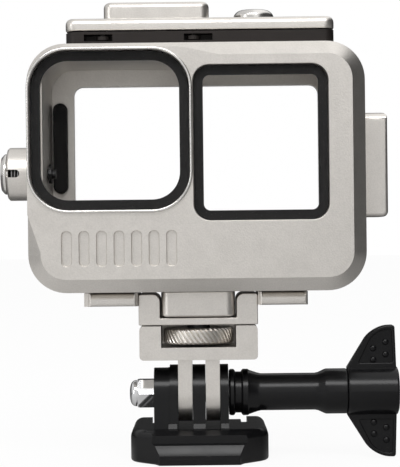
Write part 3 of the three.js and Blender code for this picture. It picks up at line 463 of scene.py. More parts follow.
def grain_group():
    """Fine grain over a soft mottle: a tone, a roughness and a normal that vary over the surface"""
    if "Surface Grain" in bpy.data.node_groups:
        return bpy.data.node_groups["Surface Grain"]
    group = bpy.data.node_groups.new("Surface Grain", "ShaderNodeTree")
    number, colour, vector = "NodeSocketFloat", "NodeSocketColor", "NodeSocketVector"
    for way, kind, labels in (
        ("INPUT", number, ("Grain Scale", "Mottle Scale", "Grain Height", "Smooth", "Rough")),
        ("INPUT", colour, ("Light Tone", "Deep Tone")),
        ("OUTPUT", colour, ("Tone",)),
        ("OUTPUT", number, ("Roughness",)),
        ("OUTPUT", vector, ("Normal",)),
    ):
        for label in labels:
            group.interface.new_socket(name=label, in_out=way, socket_type=kind)
    wanted = group.nodes.new("NodeGroupInput").outputs
    out = group.nodes.new("NodeGroupOutput")
    place = object_place(group)
    grain_inputs = {"Vector": place, "Scale": wanted["Grain Scale"], "Detail": 3}
    grain = new_node(group, "ShaderNodeTexNoise", grain_inputs).outputs["Fac"]
    mottle_inputs = {"Vector": place, "Scale": wanted["Mottle Scale"], "Detail": 4}
    mottle = new_node(group, "ShaderNodeTexNoise", mottle_inputs).outputs["Fac"]
    grain_share = 0.6
    mottled = math_node(group, "MULTIPLY", mottle, 1 - grain_share)
    both = math_node(group, "MULTIPLY_ADD", grain, grain_share, mottled)
    spread_inputs = {"Value": both, "From Min": 0.35, "From Max": 0.65}
    spread = new_node(group, "ShaderNodeMapRange", spread_inputs).outputs["Result"]
    rough_inputs = {"Value": mottle, "To Min": wanted["Smooth"], "To Max": wanted["Rough"]}
    rough = new_node(group, "ShaderNodeMapRange", rough_inputs).outputs["Result"]
    bump_inputs = {"Strength": wanted["Grain Height"], "Distance": 0.05 * MM, "Height": grain}
    bump = new_node(group, "ShaderNodeBump", bump_inputs).outputs["Normal"]
    group.links.new(colour_mix(group, spread, wanted["Deep Tone"], wanted["Light Tone"]), out.inputs["Tone"])
    group.links.new(rough, out.inputs["Roughness"])
    group.links.new(bump, out.inputs["Normal"])
    return group


def tone_of(name, share=1):
    """One of the colours, lighter or darker by a share"""
    red, green, blue = getattr(colours(), name)
    return (red * share, green * share, blue * share, 1)


def new_material(name):
    material = bpy.data.materials.new(name)
    material.use_nodes = True
    tree = material.node_tree
    return material, tree, tree.nodes["Principled BSDF"]


def finish_of(name, light, deep, rough, metallic=1, grain=3000, mottle=350, height=0.12):
    """A material whose colour, roughness and normal come from the grain group"""
    if name in bpy.data.materials:
        return bpy.data.materials[name]
    material, tree, shader = new_material(name)
    shader.inputs["Metallic"].default_value = metallic
    if metallic == 0:
        shader.inputs["IOR"].default_value = 1.35
    inputs = {
        "Grain Scale": grain,
        "Mottle Scale": mottle,
        "Grain Height": height,
        "Light Tone": light,
        "Deep Tone": deep,
        "Smooth": rough[0],
        "Rough": rough[1],
    }
    effect = new_node(tree, "ShaderNodeGroup", inputs, node_tree=grain_group())
    for given, taken in (("Tone", "Base Color"), ("Roughness", "Roughness"), ("Normal", "Normal")):
        tree.links.new(effect.outputs[given], shader.inputs[taken])
    return material


def anodised():
    light, deep = tone_of("anodised"), tone_of("anodised_deep")
    return finish_of("Blasted Metal", light, deep, (0.3, 0.38), grain=2600, mottle=260, height=0.8)


def shaded_inner_metal():
    """The same metal, rougher and painted darker inside the hollow as shade"""
    light, deep = tone_of("anodised", 0.86), tone_of("anodised_deep", 0.86)
    return finish_of("Painted Shade Metal", light, deep, (0.36, 0.46), grain=2600, mottle=180, height=0.8)


def bright_metal():
    light, deep = tone_of("bright"), tone_of("bright", 0.92)
    return finish_of("Turned Metal", light, deep, (0.16, 0.26), grain=2600, mottle=420, height=0.08)


# Painted shade: the spacer's brown-black stands for the plate's underside in shadow
def dark_metal():
    light, deep = tone_of("dark_metal"), tone_of("dark_metal", 0.75)
    return finish_of("Underside Shade Metal", light, deep, (0.4, 0.52), 0.5, grain=4200, mottle=300, height=0.4)


def black_plastic():
    light, deep = tone_of("plastic", 1.3), tone_of("plastic")
    return finish_of("Glossy Plastic", light, deep, (0.14, 0.3), 0, grain=1500, mottle=300, height=0.1)


def rubber():
    light, deep = tone_of("rubber", 1.5), tone_of("rubber")
    return finish_of("Soft Rubber", light, deep, (0.45, 0.62), 0, grain=3800, mottle=500, height=0.35)


def steel():
    return finish_of("Plain Steel", tone_of("steel"), tone_of("steel", 0.85), (0.22, 0.34))


def spring_steel():
    return finish_of("Spring Steel", tone_of("steel", 0.75), tone_of("steel", 0.6), (0.24, 0.36))


def shaded_steel():
    """Steel painted dark as shade, for the steel inside the housing that lies in shadow"""
    return finish_of("Painted Shade Steel", tone_of("steel", 0.12), tone_of("steel", 0.096), (0.3, 0.42))


def chrome():
    light, deep = tone_of("chrome"), tone_of("chrome", 0.97)
    return finish_of("Polished Chrome", light, deep, (0.03, 0.08), grain=900, mottle=200, height=0.02)


def glass():
    """Clear window glass that lets light into the hollow"""
    if "Window Glass" in bpy.data.materials:
        return bpy.data.materials["Window Glass"]
    material, tree, shader = new_material("Window Glass")
    shader.inputs["Transmission Weight"].default_value = 1
    shader.inputs["IOR"].default_value = 1.12
    haze_inputs = {"Vector": object_place(tree), "Scale": 90}
    haze = new_node(tree, "ShaderNodeTexNoise", haze_inputs).outputs["Fac"]
    rough = new_node(tree, "ShaderNodeMapRange", {"Value": haze, "To Max": 0.012}).outputs["Result"]
    tree.links.new(rough, shader.inputs["Roughness"])
    tone = colour_mix(tree, haze, (1, 1, 1, 1), (0.985, 0.99, 0.99, 1))
    tree.links.new(tone, shader.inputs["Base Color"])
    see_through = 0.955
    shadow_ray = new_node(tree, "ShaderNodeLightPath").outputs["Is Shadow Ray"]
    clear = math_node(tree, "MAXIMUM", shadow_ray, see_through)
    through = new_node(tree, "ShaderNodeBsdfTransparent").outputs["BSDF"]
    show_mix(tree, clear, shader.outputs["BSDF"], through)
    return material


def show_mix(tree, factor, a, b):
    """Two shaders mixed on the surface"""
    mix = new_node(tree, "ShaderNodeMixShader", {0: factor, 1: a, 2: b})
    tree.links.new(mix.outputs["Shader"], tree.nodes["Material Output"].inputs["Surface"])


SLOT_FINISHES = (anodised, bright_metal, dark_metal, black_plastic, rubber, steel, chrome, glass)
FINISHES = {each.__name__: each for each in SLOT_FINISHES}
# Steel pieces that get painted shade
SHADED_STEEL = ("side_stem", "side_clip", "shutter_stem", "shutter_clip", "mount_stud")


# Shapes that several pieces share


def inside(at, low, high):
    return all(low[i] - NEAR < at[i] < high[i] + NEAR for i in range(3))


def frame_ring(name, low, high, corner, wall):
    """A flat ring with round corners, outside and in"""
    piece = rounded_block(name, low, high, "Y", corner)
    grow = Vector((wall, -MM, wall))
    cut(piece, rounded_block("cutter", low + grow, high - grow, "Y", max(corner - wall, wall / 2)))
    return piece


def wedge(name, points, start, end, axis="Y"):
    """A prism on an outline: a point pulled round the outline, filled and pulled along the axis"""
    i = AXES[axis]

    def place(point, along):
        at = list(point)
        at.insert(i, along)
        return Vector(at)

    clear_selection()
    bpy.ops.mesh.primitive_plane_add(size=MM, location=place(points[0], start))
    piece = made(name)
    edit_all("VERT")
    bpy.ops.mesh.merge(type="CENTER")
    for here, there in zip(points, points[1:] + points[:1]):
        pull(place(there, start) - place(here, start))
    bpy.ops.mesh.select_all(action="SELECT")
    bpy.ops.mesh.remove_doubles(threshold=0.001 * MM)
    bpy.ops.mesh.edge_face_add()
    pull(place((0, 0), end - start))
    close_up()
    return piece


class HOUSING_OT_shell(bpy.types.Operator):
    """Front shell: chamfered body, lens plateau, window seats, recesses and the hollow"""

    bl_idname = "housing.shell"
    bl_label = "Front Shell"

    def execute(self, context):
        size = sizes()
        low, high = SHELL_LOW.copy(), SHELL_HIGH.copy()
        front = low.y
        shell = rounded_block("shell", low, high, "Y", size.body_corner, 14)
        round_rim(shell, "Y", front, size.front_chamfer)
        fuse(shell, *self.plateau(size, front))
        wall = Vector((size.side_wall, 0, size.side_wall))
        hollow_low = low + wall
        hollow_low.y = front + size.front_wall
        hollow_high = high - wall
        hollow_high.y = high.y + MM
        hollow = rounded_block("cutter", hollow_low, hollow_high, "Y", size.body_corner - size.side_wall)
        cut(shell, hollow)
        self.window(shell, size, LENS_LOW, LENS_HIGH, size.lens_corner - LENS_INSET)
        self.window(shell, size, SCREEN_LOW, SCREEN_HIGH, size.screen_corner)
        tidy_mesh(shell)
        edge, sharp = 0.28 * MM, 24
        break_edges(shell, edge, 2, sharp)
        self.recesses(shell, front)
        self.bores(shell, size)
        smooth(shell, sharp)
        finish_piece(shell, "front_shell")
        # Painted shade: the faces inside the hollow take the darker metal
        paint_shade_faces(shell, shaded_inner_metal(), lambda at, way: inside(at, hollow_low, hollow_high))
        return {"FINISHED"}

    def plateau(self, size, front):
        """What fills the chamfer beside the lens, with a slanting run-out at each end"""
        back = front + size.front_chamfer + MM
        low, high = BEZEL_LOW, BEZEL_HIGH
        middle = (low + high) / 2
        pad_low, pad_high = (low.x, front, low.z), (high.x, back, high.z)
        pad = rounded_block("pad", pad_low, pad_high, "Y", size.lens_corner, 14)
        inner_left = SHELL_LOW.x + size.front_chamfer
        inner_low = SHELL_LOW.z + size.front_chamfer
        inner_top = SHELL_HIGH.z - size.front_chamfer - 0.02 * MM
        left = [
            (low.x, middle.z),
            (middle.x, middle.z),
            (middle.x, inner_low + MM),
            (inner_left + 2 * size.front_chamfer, inner_low + MM),
            (inner_left + size.front_chamfer / 2, inner_low + size.front_chamfer / 2),
            (low.x, low.z - size.clearance),
        ]
        top = [
            (middle.x, middle.z),
            (middle.x, high.z),
            (high.x - size.front_chamfer, high.z),
            (high.x + 2 * size.front_chamfer, inner_top),
            (high.x + middle.z - low.z, middle.z),
        ]
        return [pad, wedge("left_run", left, front, back), wedge("top_run", top, front, back)]

    def window(self, shell, size, low, high, corner):
        gap = Vector((size.clearance, 0, size.clearance))
        pocket_low = low - gap
        pocket_high = high + gap
        pocket_low.y = SHELL_LOW.y - 2 * MM
        pocket_high.y = SHELL_LOW.y + size.seat_depth
        cut(shell, rounded_block("cutter", pocket_low, pocket_high, "Y", corner + size.clearance))
        cover = size.mask_width - size.clearance
        inset = Vector((cover, 0, cover))
        open_low = low + inset
        open_high = high - inset
        open_low.y = SHELL_LOW.y - MM
        open_high.y = SHELL_LOW.y + size.front_wall + MM
        inner = max(corner - cover, cover / 2)
        cut(shell, rounded_block("cutter", open_low, open_high, "Y", inner))
        if low is SCREEN_LOW:
            round_rim(shell, "Y", SHELL_LOW.y, size.edge, 3, lambda at: inside(at, pocket_low, pocket_high))

    def recesses(self, shell, front):
        """Seven shallow stadium recesses below the lens"""
        half_width, half_height, corner = 1.25 * MM, 4.5 * MM, 1.1 * MM
        pitch, depth, rim = 4.5 * MM, 1.3 * MM, 0.22 * MM
        first = SHELL_LOW.x + 10.15 * MM
        middle = SHELL_LOW.z + 11.4 * MM
        margin = Vector((MM, MM, MM))
        for i in range(7):
            x = first + i * pitch
            low = Vector((x - half_width, front - MM, middle - half_height))
            high = Vector((x + half_width, front + depth, middle + half_height))
            cut(shell, rounded_block("cutter", low, high, "Y", corner, 8))
            round_rim(shell, "Y", front, rim, 3, lambda at: inside(at, low - margin, high + margin))

    def bores(self, shell, size):
        """Bores for the two stems"""
        deep = size.side_wall + MM
        top_ends = (SHELL_HIGH.z - deep, SHELL_HIGH.z + MM)
        side_ends = (SHELL_LOW.x - MM, SHELL_LOW.x + deep)
        for node, axis, ends in (("shutter_stem", "Z", top_ends), ("side_stem", "X", side_ends)):
            drill(shell, axis, middle_of(node), radius_of(node) + size.clearance, *ends, 32)


class HOUSING_OT_windows(bpy.types.Operator):
    """Bezel, glasses and black bands of the two front windows"""

    bl_idname = "housing.windows"
    bl_label = "Windows"

    def execute(self, context):
        size = sizes()
        self.bezel(size)
        lens_corner = size.lens_corner - LENS_INSET
        reach, pane_edge, band_edge = 0.25 * MM, 0.18 * MM, 0.12 * MM
        grow = Vector((reach, 0, reach))
        for node, corner in (("lens_glass", lens_corner), ("screen_glass", size.screen_corner)):
            low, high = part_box(node)
            pane = rounded_block(node + "_pane", low - grow, high + grow, "Y", corner + reach)
            finish_piece(pane, node, pane_edge)
        for node, corner in (("lens_mask_ring", lens_corner), ("screen_mask_frame", size.screen_corner)):
            low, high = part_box(node)
            ring = frame_ring(node + "_band", low - grow, high + grow, corner + reach, size.mask_width)
            finish_piece(ring, node, band_edge)
        return {"FINISHED"}

    def bezel(self, size):
        wall, rounding = 0.8 * MM, 0.38 * MM
        ring = frame_ring("bezel", BEZEL_LOW, BEZEL_HIGH, size.lens_corner, wall)
        round_rim(ring, "Y", BEZEL_LOW.y, rounding, 4)
        smooth(ring, 30)
        finish_piece(ring, "lens_bezel")


class HOUSING_OT_door(bpy.types.Operator):
    """Rear door, its glass, gasket and pad"""

    bl_idname = "housing.door"
    bl_label = "Rear Door"

    def execute(self, context):
        size = sizes()
        door = copy_of("door_frame", "door")
        finish_piece(door, "door_frame", size.edge)
        # Painted shade: the door's faces that look forward into the hollow take the darker metal
        paint_shade_faces(door, shaded_inner_metal(), lambda at, way: way.y < -0.9 and at.y < DOOR_HIGH.y - MM)
        seat_border, pane_edge, gasket_edge = 1.8 * MM, 0.2 * MM, 0.15 * MM
        low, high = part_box("door_glass")
        pane = rounded_block("door_pane", low, high, "Y", size.rear_corner + seat_border)
        finish_piece(pane, "door_glass", pane_edge)
        gasket = copy_of("door_gasket", "door_gasket_band")
        finish_piece(gasket, "door_gasket", gasket_edge)
        self.pad()
        return {"FINISHED"}

    def pad(self):
        low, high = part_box("door_pad")
        rounding, edge, end_share = 0.5 * MM, 0.1 * MM, 0.499
        pad = rounded_block("door_pad_rubber", low, high, "Y", end_share * (high.x - low.x), 10)
        round_rim(pad, "Y", low.y, rounding, 3)
        finish_piece(pad, "door_pad", edge, 1)


class HOUSING_OT_top(bpy.types.Operator):
    """Plate, spacer and sliding latch on the top"""

    bl_idname = "housing.top"
    bl_label = "Top Plate and Latch"

    def execute(self, context):
        size = sizes()
        self.plate(size)
        self.latch(size)
        self.spacer(size)
        return {"FINISHED"}

    def spacer(self, size):
        ends = [corner.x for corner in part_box("top_spacer")]
        corner, edge, near = 1.8 * MM, 0.25 * MM, 0.05 * MM
        spacer = copy_of("top_spacer", "spacer")
        round_along(spacer, "Z", corner, 8, lambda at: min(abs(at.x - end) for end in ends) < near)
        stretch(spacer, "X", ends[0], -size.overhang)
        finish_piece(spacer, "top_spacer", edge, 3)

    def plate(self, size):
        """The plate with the shutter button's cup and the slot that the latch's key runs in"""
        low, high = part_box("top_plate")
        low.x -= size.overhang
        plate = rounded_block("plate", low, high, "Z", size.plate_corner, 12)
        round_rim(plate, "Z", high.z, size.plate_rim, 5)
        round_rim(plate, "Z", low.z, size.edge, 2)
        middle = middle_of("shutter_cap")
        floor = high.z - size.shutter_sink
        drill(plate, "Z", middle, radius_of("shutter_cap", "X") + size.clearance, floor, high.z + MM)
        coil = radius_of("shutter_spring", "X") + 2 * size.clearance
        drill(plate, "Z", middle, coil, low.z - MM, floor + MM, 48)
        key_low, key_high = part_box("latch_key")
        neck, neck_corner, edge = 1.8 * MM, 1.62 * MM, 0.2 * MM
        slot_low = (key_low.x - size.latch_travel - size.clearance, -neck, low.z - MM)
        slot_high = (key_high.x + size.clearance, neck, high.z + MM)
        cut(plate, rounded_block("cutter", slot_low, slot_high, "Z", neck_corner, 8))
        finish_piece(plate, "top_plate", edge)

    def latch(self, size):
        """The latch, with the lip that hangs over the door"""
        low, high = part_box("latch_slider")
        high.x += size.overhang
        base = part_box("top_plate")[1].z + size.clearance
        lip_corner, edge = 0.5 * MM, 0.2 * MM
        latch = rounded_block("latch", (low.x, low.y, base), high, "Z", size.latch_corner, 10)
        round_rim(latch, "Z", high.z, size.latch_rim, 7)
        lip_low = (low.x + size.latch_rim, high.y - size.lip_depth, low.z)
        lip_high = (high.x - size.latch_rim, high.y - NEAR, base + MM)
        fuse(latch, rounded_block("lip", lip_low, lip_high, "Y", lip_corner, 4))
        finish_piece(latch, "latch_slider", edge)


class HOUSING_OT_buttons(bpy.types.Operator):
    """Shutter button and side button with their springs"""

    bl_idname = "housing.buttons"
    bl_label = "Buttons"

    def execute(self, context):
        self.shutter()
        self.side_barrel()
        self.side_cap()
        for node, button, axis in (
            ("side_spring", "side_button", "X"),
            ("shutter_spring", "shutter_button", "Z"),
        ):
            coil = self.coil(node, axis)
            dress(coil, node, spring_steel())
            self.squeeze(coil, node, button, axis)
        return {"FINISHED"}

    def coil(self, node, axis):
        """A spring: a round face pulled and turned round the axis step by step"""
        size = sizes()
        low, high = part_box(node)
        i = AXES[axis]
        wire = size.spring_wire / 2
        run = high[i] - low[i] - 2 * wire
        turns = round(run / size.spring_pitch)
        steps = 16
        place = middle_of(node)
        place.y = high.y - wire
        place[i] = low[i] + wire
        facing = (0, 0, 0) if axis == "X" else (0, math.pi / 2, 0)
        clear_selection()
        bpy.ops.mesh.primitive_circle_add(
            vertices=8, radius=wire, fill_type="NGON", location=place, rotation=facing
        )
        piece = made(node + "_wire")
        edit_all("FACE")
        for step in range(turns * steps):
            pull(step_along(axis, run / turns / steps))
            bpy.ops.transform.rotate(
                value=math.tau / steps, orient_axis=axis, center_override=middle_of(node)
            )
        close_up()
        smooth(piece, 50)
        return piece

    def squeeze(self, coil, node, button, axis):
        """Works out the spring's two ends, then puts the spring's place into its mesh"""
        low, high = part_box(node)
        i = AXES[axis]
        fixed, moving = middle_of(node), middle_of(node)
        fixed[i], moving[i] = (high[i], low[i]) if axis == "X" else (low[i], high[i])
        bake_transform(coil)
        clear_selection()

    def shutter(self):
        """A cap with a rounded rim and a shallow dish"""
        low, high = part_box("shutter_cap")
        radius = radius_of("shutter_cap", "X")
        tall = high.z - low.z
        edge = 0.15 * MM
        # Each point as a share of the radius and one of the height
        side = ((1, 0), (1, 0.5), (0.96, 0.66), (0.88, 0.82), (0.78, 0.94))
        dish = ((0.68, 1), (0.6, 0.98), (0.2, 0.88))
        profile = [(share * radius, low.z + up * tall) for share, up in side + dish]
        cap = turned("shutter_button", profile, "Z", middle_of("shutter_cap"))
        finish_piece(cap, "shutter_cap", edge)

    def side_barrel(self):
        """A barrel with the button's bore and the slot that shows the spring"""
        size = sizes()
        low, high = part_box("side_barrel")
        centre = middle_of("side_barrel")
        radius = radius_of("side_barrel")
        lip, mouth, edge = 0.5 * MM, 2 * MM, 0.15 * MM
        profile = [(radius - lip, low.x), (radius, low.x + lip), (radius, high.x)]
        barrel = turned("barrel", profile, "X", centre)
        room = radius_of("side_cap") + size.clearance
        drill(barrel, "X", centre, room, low.x - MM, high.x - size.barrel_floor)
        drill(barrel, "X", centre, radius_of("side_stem") + size.clearance, low.x, high.x + MM, 32)
        half = size.slot_height / 2
        slot_low = Vector((low.x - mouth, -radius - MM, centre.z - half))
        slot_high = Vector((low.x + size.slot_length, 0, centre.z + half))
        cut(barrel, rounded_block("cutter", slot_low, slot_high, "Y", 0.98 * half, 8))
        finish_piece(barrel, "side_barrel", edge)

    def side_cap(self):
        """A cap with a slanted rim and a groove where it leaves the barrel"""
        low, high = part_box("side_cap")
        radius = radius_of("side_cap")
        slant, groove, turn_in, edge = 0.9 * MM, 0.6 * MM, 0.05 * MM, 0.1 * MM
        profile = [
            (radius - 1.1 * slant, low.x),
            (radius - 0.2 * slant, low.x + 0.8 * slant),
            (radius, low.x + 1.1 * slant),
            (radius, high.x - groove),
            (0.94 * radius, high.x - groove + turn_in),
            (0.94 * radius, high.x),
        ]
        cap = turned("side_button_cap", profile, "X", middle_of("side_cap"))
        finish_piece(cap, "side_cap", edge)


class HOUSING_OT_metalwork(bpy.types.Operator):
    """Hinge, rails, boss, saddle and fork block"""

    bl_idname = "housing.metalwork"
    bl_label = "Hinge and Mount Metalwork"

    def execute(self, context):
        size = sizes()
        self.fork(size)
        self.hinge(size)
        for node in ("rail_left", "rail_right"):
            self.rail(node)
        self.boss(size)
        self.saddle(size)
        return {"FINISHED"}

    def fork(self, size):
        """The fork block, its prongs a little wider so that their gaps don't show"""
        fork = copy_of("fork_block", "fork_milled")
        for side in (-1, 1):
            stretch(fork, "X", side * size.fork_outer, side * size.fork_closing)
            stretch(fork, "X", side * size.fork_inner, -side * size.fork_closing)
        finish_piece(fork, "fork_block", size.edge / 2, 3)

    def hinge(self, size):
        """Rounded round its front, with a wider curve along the upper edge"""
        low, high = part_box("hinge_block")
        rounding = 0.95 * MM
        hinge = copy_of("hinge_block", "hinge_milled")
        round_rim(hinge, "Y", low.y, rounding, 6)
        steps = 12
        curve = []
        for i in range(steps + 1):
            angle = i / steps * math.pi / 2
            back, down = size.brow * (1 - math.cos(angle)), size.brow * (1 - math.sin(angle))
            curve.append((low.y + back, high.z - down))
        above = high.z + MM
        curve += [(low.y + size.brow, above), (low.y - MM, above), (low.y - MM, high.z - size.brow)]
        cut(hinge, wedge("cutter", curve, low.x - MM, high.x + MM, "X"))
        tidy_mesh(hinge)
        smooth(hinge, 35)
        finish_piece(hinge, "hinge_block")

    def rail(self, node):
        """A rail whose front is rounded above and below, closed up to the saddle's ear"""
        low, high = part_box(node)
        near, upper, lower, edge = 0.05 * MM, 1.9 * MM, 0.9 * MM, 0.1 * MM
        ear_gap, left_reach = 0.26 * MM, 1.1 * MM
        rail = copy_of(node, node + "_milled")
        side = 1 if low.x > 0 else -1
        inner = low.x if side > 0 else high.x
        stretch(rail, "X", inner, -side * ear_gap)
        if side < 0:
            stretch(rail, "X", low.x, -left_reach)
        for height, radius in ((high.z, upper), (low.z, lower)):
            round_along(
                rail, "X", radius, 8, lambda at: abs(at.z - height) < near and abs(at.y - low.y) < near
            )
        finish_piece(rail, node, edge)

    def boss(self, size):
        low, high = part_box("tripod_boss")
        rounding, edge = 0.6 * MM, 0.2 * MM
        boss = rounded_block("boss", low, high, "Z", size.boss_corner, 12)
        round_rim(boss, "Z", low.z, rounding, 4)
        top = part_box("mount_stud")[1].z + size.clearance
        drill(boss, "Z", (0, 0, 0), radius_of("mount_stud", "X") + size.clearance, low.z - MM, top, 48)
        finish_piece(boss, "tripod_boss", edge)

    def saddle(self, size):
        """A web under the boss with an ear up each side of it"""
        low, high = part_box("saddle_bracket")
        web_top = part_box("tripod_boss")[0].z - size.clearance
        outer_round, near = 0.6 * MM, 0.1 * MM
        stud_bore, screw_bore = 3.4 * MM, 1.4 * MM
        saddle = block("saddle", low, (high.x, high.y, web_top))
        tall = 0.9 * high.z + 0.1 * low.z
        for side in (-1, 1):
            inner, outer = side * (high.x - size.ear_width), side * high.x
            ear = block("ear", (min(inner, outer), low.y, low.z), (max(inner, outer), high.y, high.z))
            round_along(ear, "Y", size.ear_round, 8, lambda at: at.z > tall and abs(at.x - inner) < near)
            round_along(ear, "Y", outer_round, 4, lambda at: at.z > tall and abs(at.x - outer) < near)
            fuse(saddle, ear)
        for node, bore in (
            ("mount_stud", stud_bore),
            ("fork_screw_left", screw_bore),
            ("fork_screw_right", screw_bore),
        ):
            drill(saddle, "Z", middle_of(node), bore, low.z - MM, web_top + MM, 32)
        tidy_mesh(saddle)
        finish_piece(saddle, "saddle_bracket", size.edge, 3)


class HOUSING_OT_wheel(bpy.types.Operator):
    """Knurled wheel with leaning ridges"""

    bl_idname = "housing.wheel"
    bl_label = "Knurled Wheel"

    def execute(self, context):
        size = sizes()
        low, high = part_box("knurled_wheel")
        radius = radius_of("knurled_wheel", "X")
        tall = high.z - low.z
        rim, rim_share = 0.12 * tall, 0.94
        stud_gap, edge, sharp = 0.05 * MM, 0.05 * MM, 22
        wheel = self.toothed_disc(size, low.z, radius, rim_share)
        lean = size.tooth_lean * tall / radius
        done = 0
        for height in (rim, 0.36 * tall, 0.64 * tall, tall - rim, tall):
            step = height - done
            pull((0, 0, step))
            top = (0, 0, low.z + height)
            bpy.ops.transform.rotate(value=lean * step / tall, orient_axis="Z", center_override=top)
            if height == rim:
                bpy.ops.transform.resize(value=(1 / rim_share, 1 / rim_share, 1), center_override=top)
            if height == tall:
                bpy.ops.transform.resize(value=(rim_share, rim_share, 1), center_override=top)
            done = height
        close_up()
        bore = radius_of("mount_stud", "X") + stud_gap
        drill(wheel, "Z", (0, 0, 0), bore, low.z - MM, high.z + MM, 48)
        finish_piece(wheel, "knurled_wheel", edge, 1, sharp)
        return {"FINISHED"}

    def toothed_disc(self, size, height, radius, rim_share):
        """A disc with every fourth corner pulled in, left selected in edit mode"""
        clear_selection()
        bpy.ops.mesh.primitive_circle_add(
            vertices=4 * size.teeth, radius=radius, fill_type="NGON", location=(0, 0, height)
        )
        disc = made("wheel")
        bpy.ops.object.mode_set(mode="EDIT")
        bpy.ops.mesh.select_mode(type="VERT")
        bpy.ops.mesh.select_all(action="DESELECT")
        mesh = bmesh.from_edit_mesh(disc.data)
        for i, vertex in enumerate(mesh.verts):
            vertex.select_set(i % 4 == 1)
        bmesh.update_edit_mesh(disc.data)
        groove_share = 1 - size.tooth_depth / radius
        centre = (0, 0, height)
        bpy.ops.transform.resize(value=(groove_share, groove_share, 1), center_override=centre)
        bpy.ops.mesh.select_all(action="SELECT")
        bpy.ops.transform.resize(value=(rim_share, rim_share, 1), center_override=centre)
        edit_all("FACE")
        return disc


class HOUSING_OT_buckle(bpy.types.Operator):
    """Black buckle and its chrome dome nut"""

    bl_idname = "housing.buckle"
    bl_label = "Buckle"

    def execute(self, context):
        base = copy_of("buckle_base", "buckle_moulding")
        low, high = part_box("buckle_base")
        house_end, house_drop, edge = -8.25 * MM, 0.9 * MM, 0.35 * MM
        crown_low = (low.x, low.y, high.z - house_drop)
        cut(base, block("cutter", crown_low, (house_end, high.y, high.z + MM)))
        for side in (-1, 1):
            fuse(base, self.shoulder(side, low, high))
        self.nose(base, low, high)
        finish_piece(base, "buckle_base", edge, 3)
        self.nut()
        return {"FINISHED"}

    def shoulder(self, side, low, high):
        """Fuller corner beside the nose, low and rounded as in the photo"""
        inner, deep, back, top = 10.3 * MM, 8.7 * MM, 9.9 * MM, 8.8 * MM
        slope_low, slope_run = 6.2 * MM, 5 * MM
        corner, upper_round, foot_round = 3 * MM, 2.3 * MM, 0.8 * MM
        plan = [
            (side * inner, low.y + 0.05 * MM),
            (side * high.x, low.y + deep),
            (side * high.x, back),
            (side * inner, back),
        ]

        def outer(at):
            return side * at.x > inner + MM and at.y < back - MM

        piece = wedge("shoulder", plan, 0, top, "Z")
        round_along(piece, "Z", corner, 8, lambda at: side * at.x > high.x - MM and at.y < 0)
        round_rim(piece, "Z", top, upper_round, 6, outer)
        round_rim(piece, "Z", 0, foot_round, 3, outer)
        rise = top - slope_low
        above = [
            (low.y - MM, slope_low - MM * rise / slope_run),
            (low.y + slope_run, top),
            (low.y + slope_run, top + MM),
            (low.y - MM, top + MM),
        ]
        cut(piece, wedge("cutter", above, -high.x - MM, high.x + MM, "X"))
        return piece

    def nose(self, base, low, high):
        """Fills the CAD's scoop and cuts the low hollow slope across the front"""
        front = low.y + 0.02 * MM
        half, flare, depth = 10.5 * MM, 0.39, 4 * MM
        fill_low, fill_high = 1.2 * MM, 6.1 * MM
        plan = [
            (-half, front),
            (half, front),
            (half + flare * depth, low.y + depth),
            (-half - flare * depth, low.y + depth),
        ]
        fuse(base, wedge("fill", plan, fill_low, fill_high, "Z"))
        foot, top, lean = 2.1 * MM, 5 * MM, 1.54 * MM
        run, shelf, rise = 2.5 * MM, 0.5 * MM, 9 * MM
        hollow = 0.08 * MM
        steps = 8
        curve = [(low.y - MM, foot)]
        for i in range(1, steps + 1):
            share = i / steps
            sag = hollow * math.sin(share * math.pi)
            curve.append((low.y + lean * share + sag, foot + (top - foot) * share - sag / 2))
        curve += [(low.y + run, top + shelf), (low.y + run, rise), (low.y - MM, rise)]
        cut(base, wedge("cutter", curve, -high.x - MM, high.x + MM, "X"))
        self.ramps(base)
        tidy_mesh(base)

    def ramps(self, base):
        """Small slopes at the foot of the three prongs"""
        outline = [(-8.4, 8), (-8.4, 9.1), (-7.7, 10.3), (-6.8, 10.3), (-6.8, 8)]
        outline = [(y * MM, z * MM) for y, z in outline]
        for start, end in ((-8.2, -5.9), (-1.6, 1.6), (5.7, 7.8)):
            fuse(base, wedge("ramp", outline, start * MM, end * MM, "X"))

    def nut(self):
        """A hexagon with its corners turned off, and a dome"""
        low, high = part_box("dome_nut")
        corner, flat = radius_of("dome_nut", "Y"), radius_of("dome_nut", "Z")
        reach, dome, neck, shaft_gap = 0.7 * MM, 1.9 * MM, 0.2 * MM, 0.1 * MM
        shoulder = low.x - reach + dome
        hexagon = shoulder + neck
        nut = turned("nut", [(corner, hexagon), (corner, high.x)], "X", TILT_AXIS, 6)
        collar = [
            (0.86 * corner, hexagon - MM),
            (0.86 * corner, hexagon),
            (corner, hexagon + 0.6 * MM),
            (1.05 * corner, hexagon + 0.9 * MM),
            (1.05 * corner, high.x + MM),
        ]
        combine(nut, turned("collar", collar, "X", TILT_AXIS), "INTERSECT")
        wide, narrow = 0.95 * flat, 0.82 * flat
        bulge, crown = 0.75, 0.8
        curve = []
        for angle in range(4, 92, 8):
            turn = math.radians(angle)
            curve.append((wide * math.sin(turn) ** bulge, shoulder - dome * math.cos(turn) ** crown))
        curve += [(wide, shoulder), (narrow, shoulder + neck / 4), (narrow, hexagon + neck)]
        fuse(nut, turned("dome", curve, "X", TILT_AXIS))
        drill(nut, "X", TILT_AXIS, radius_of("screw_shaft") + shaft_gap, shoulder, high.x + MM, 32)
        tidy_mesh(nut)
        smooth(nut, 34)
        finish_piece(nut, "dome_nut")


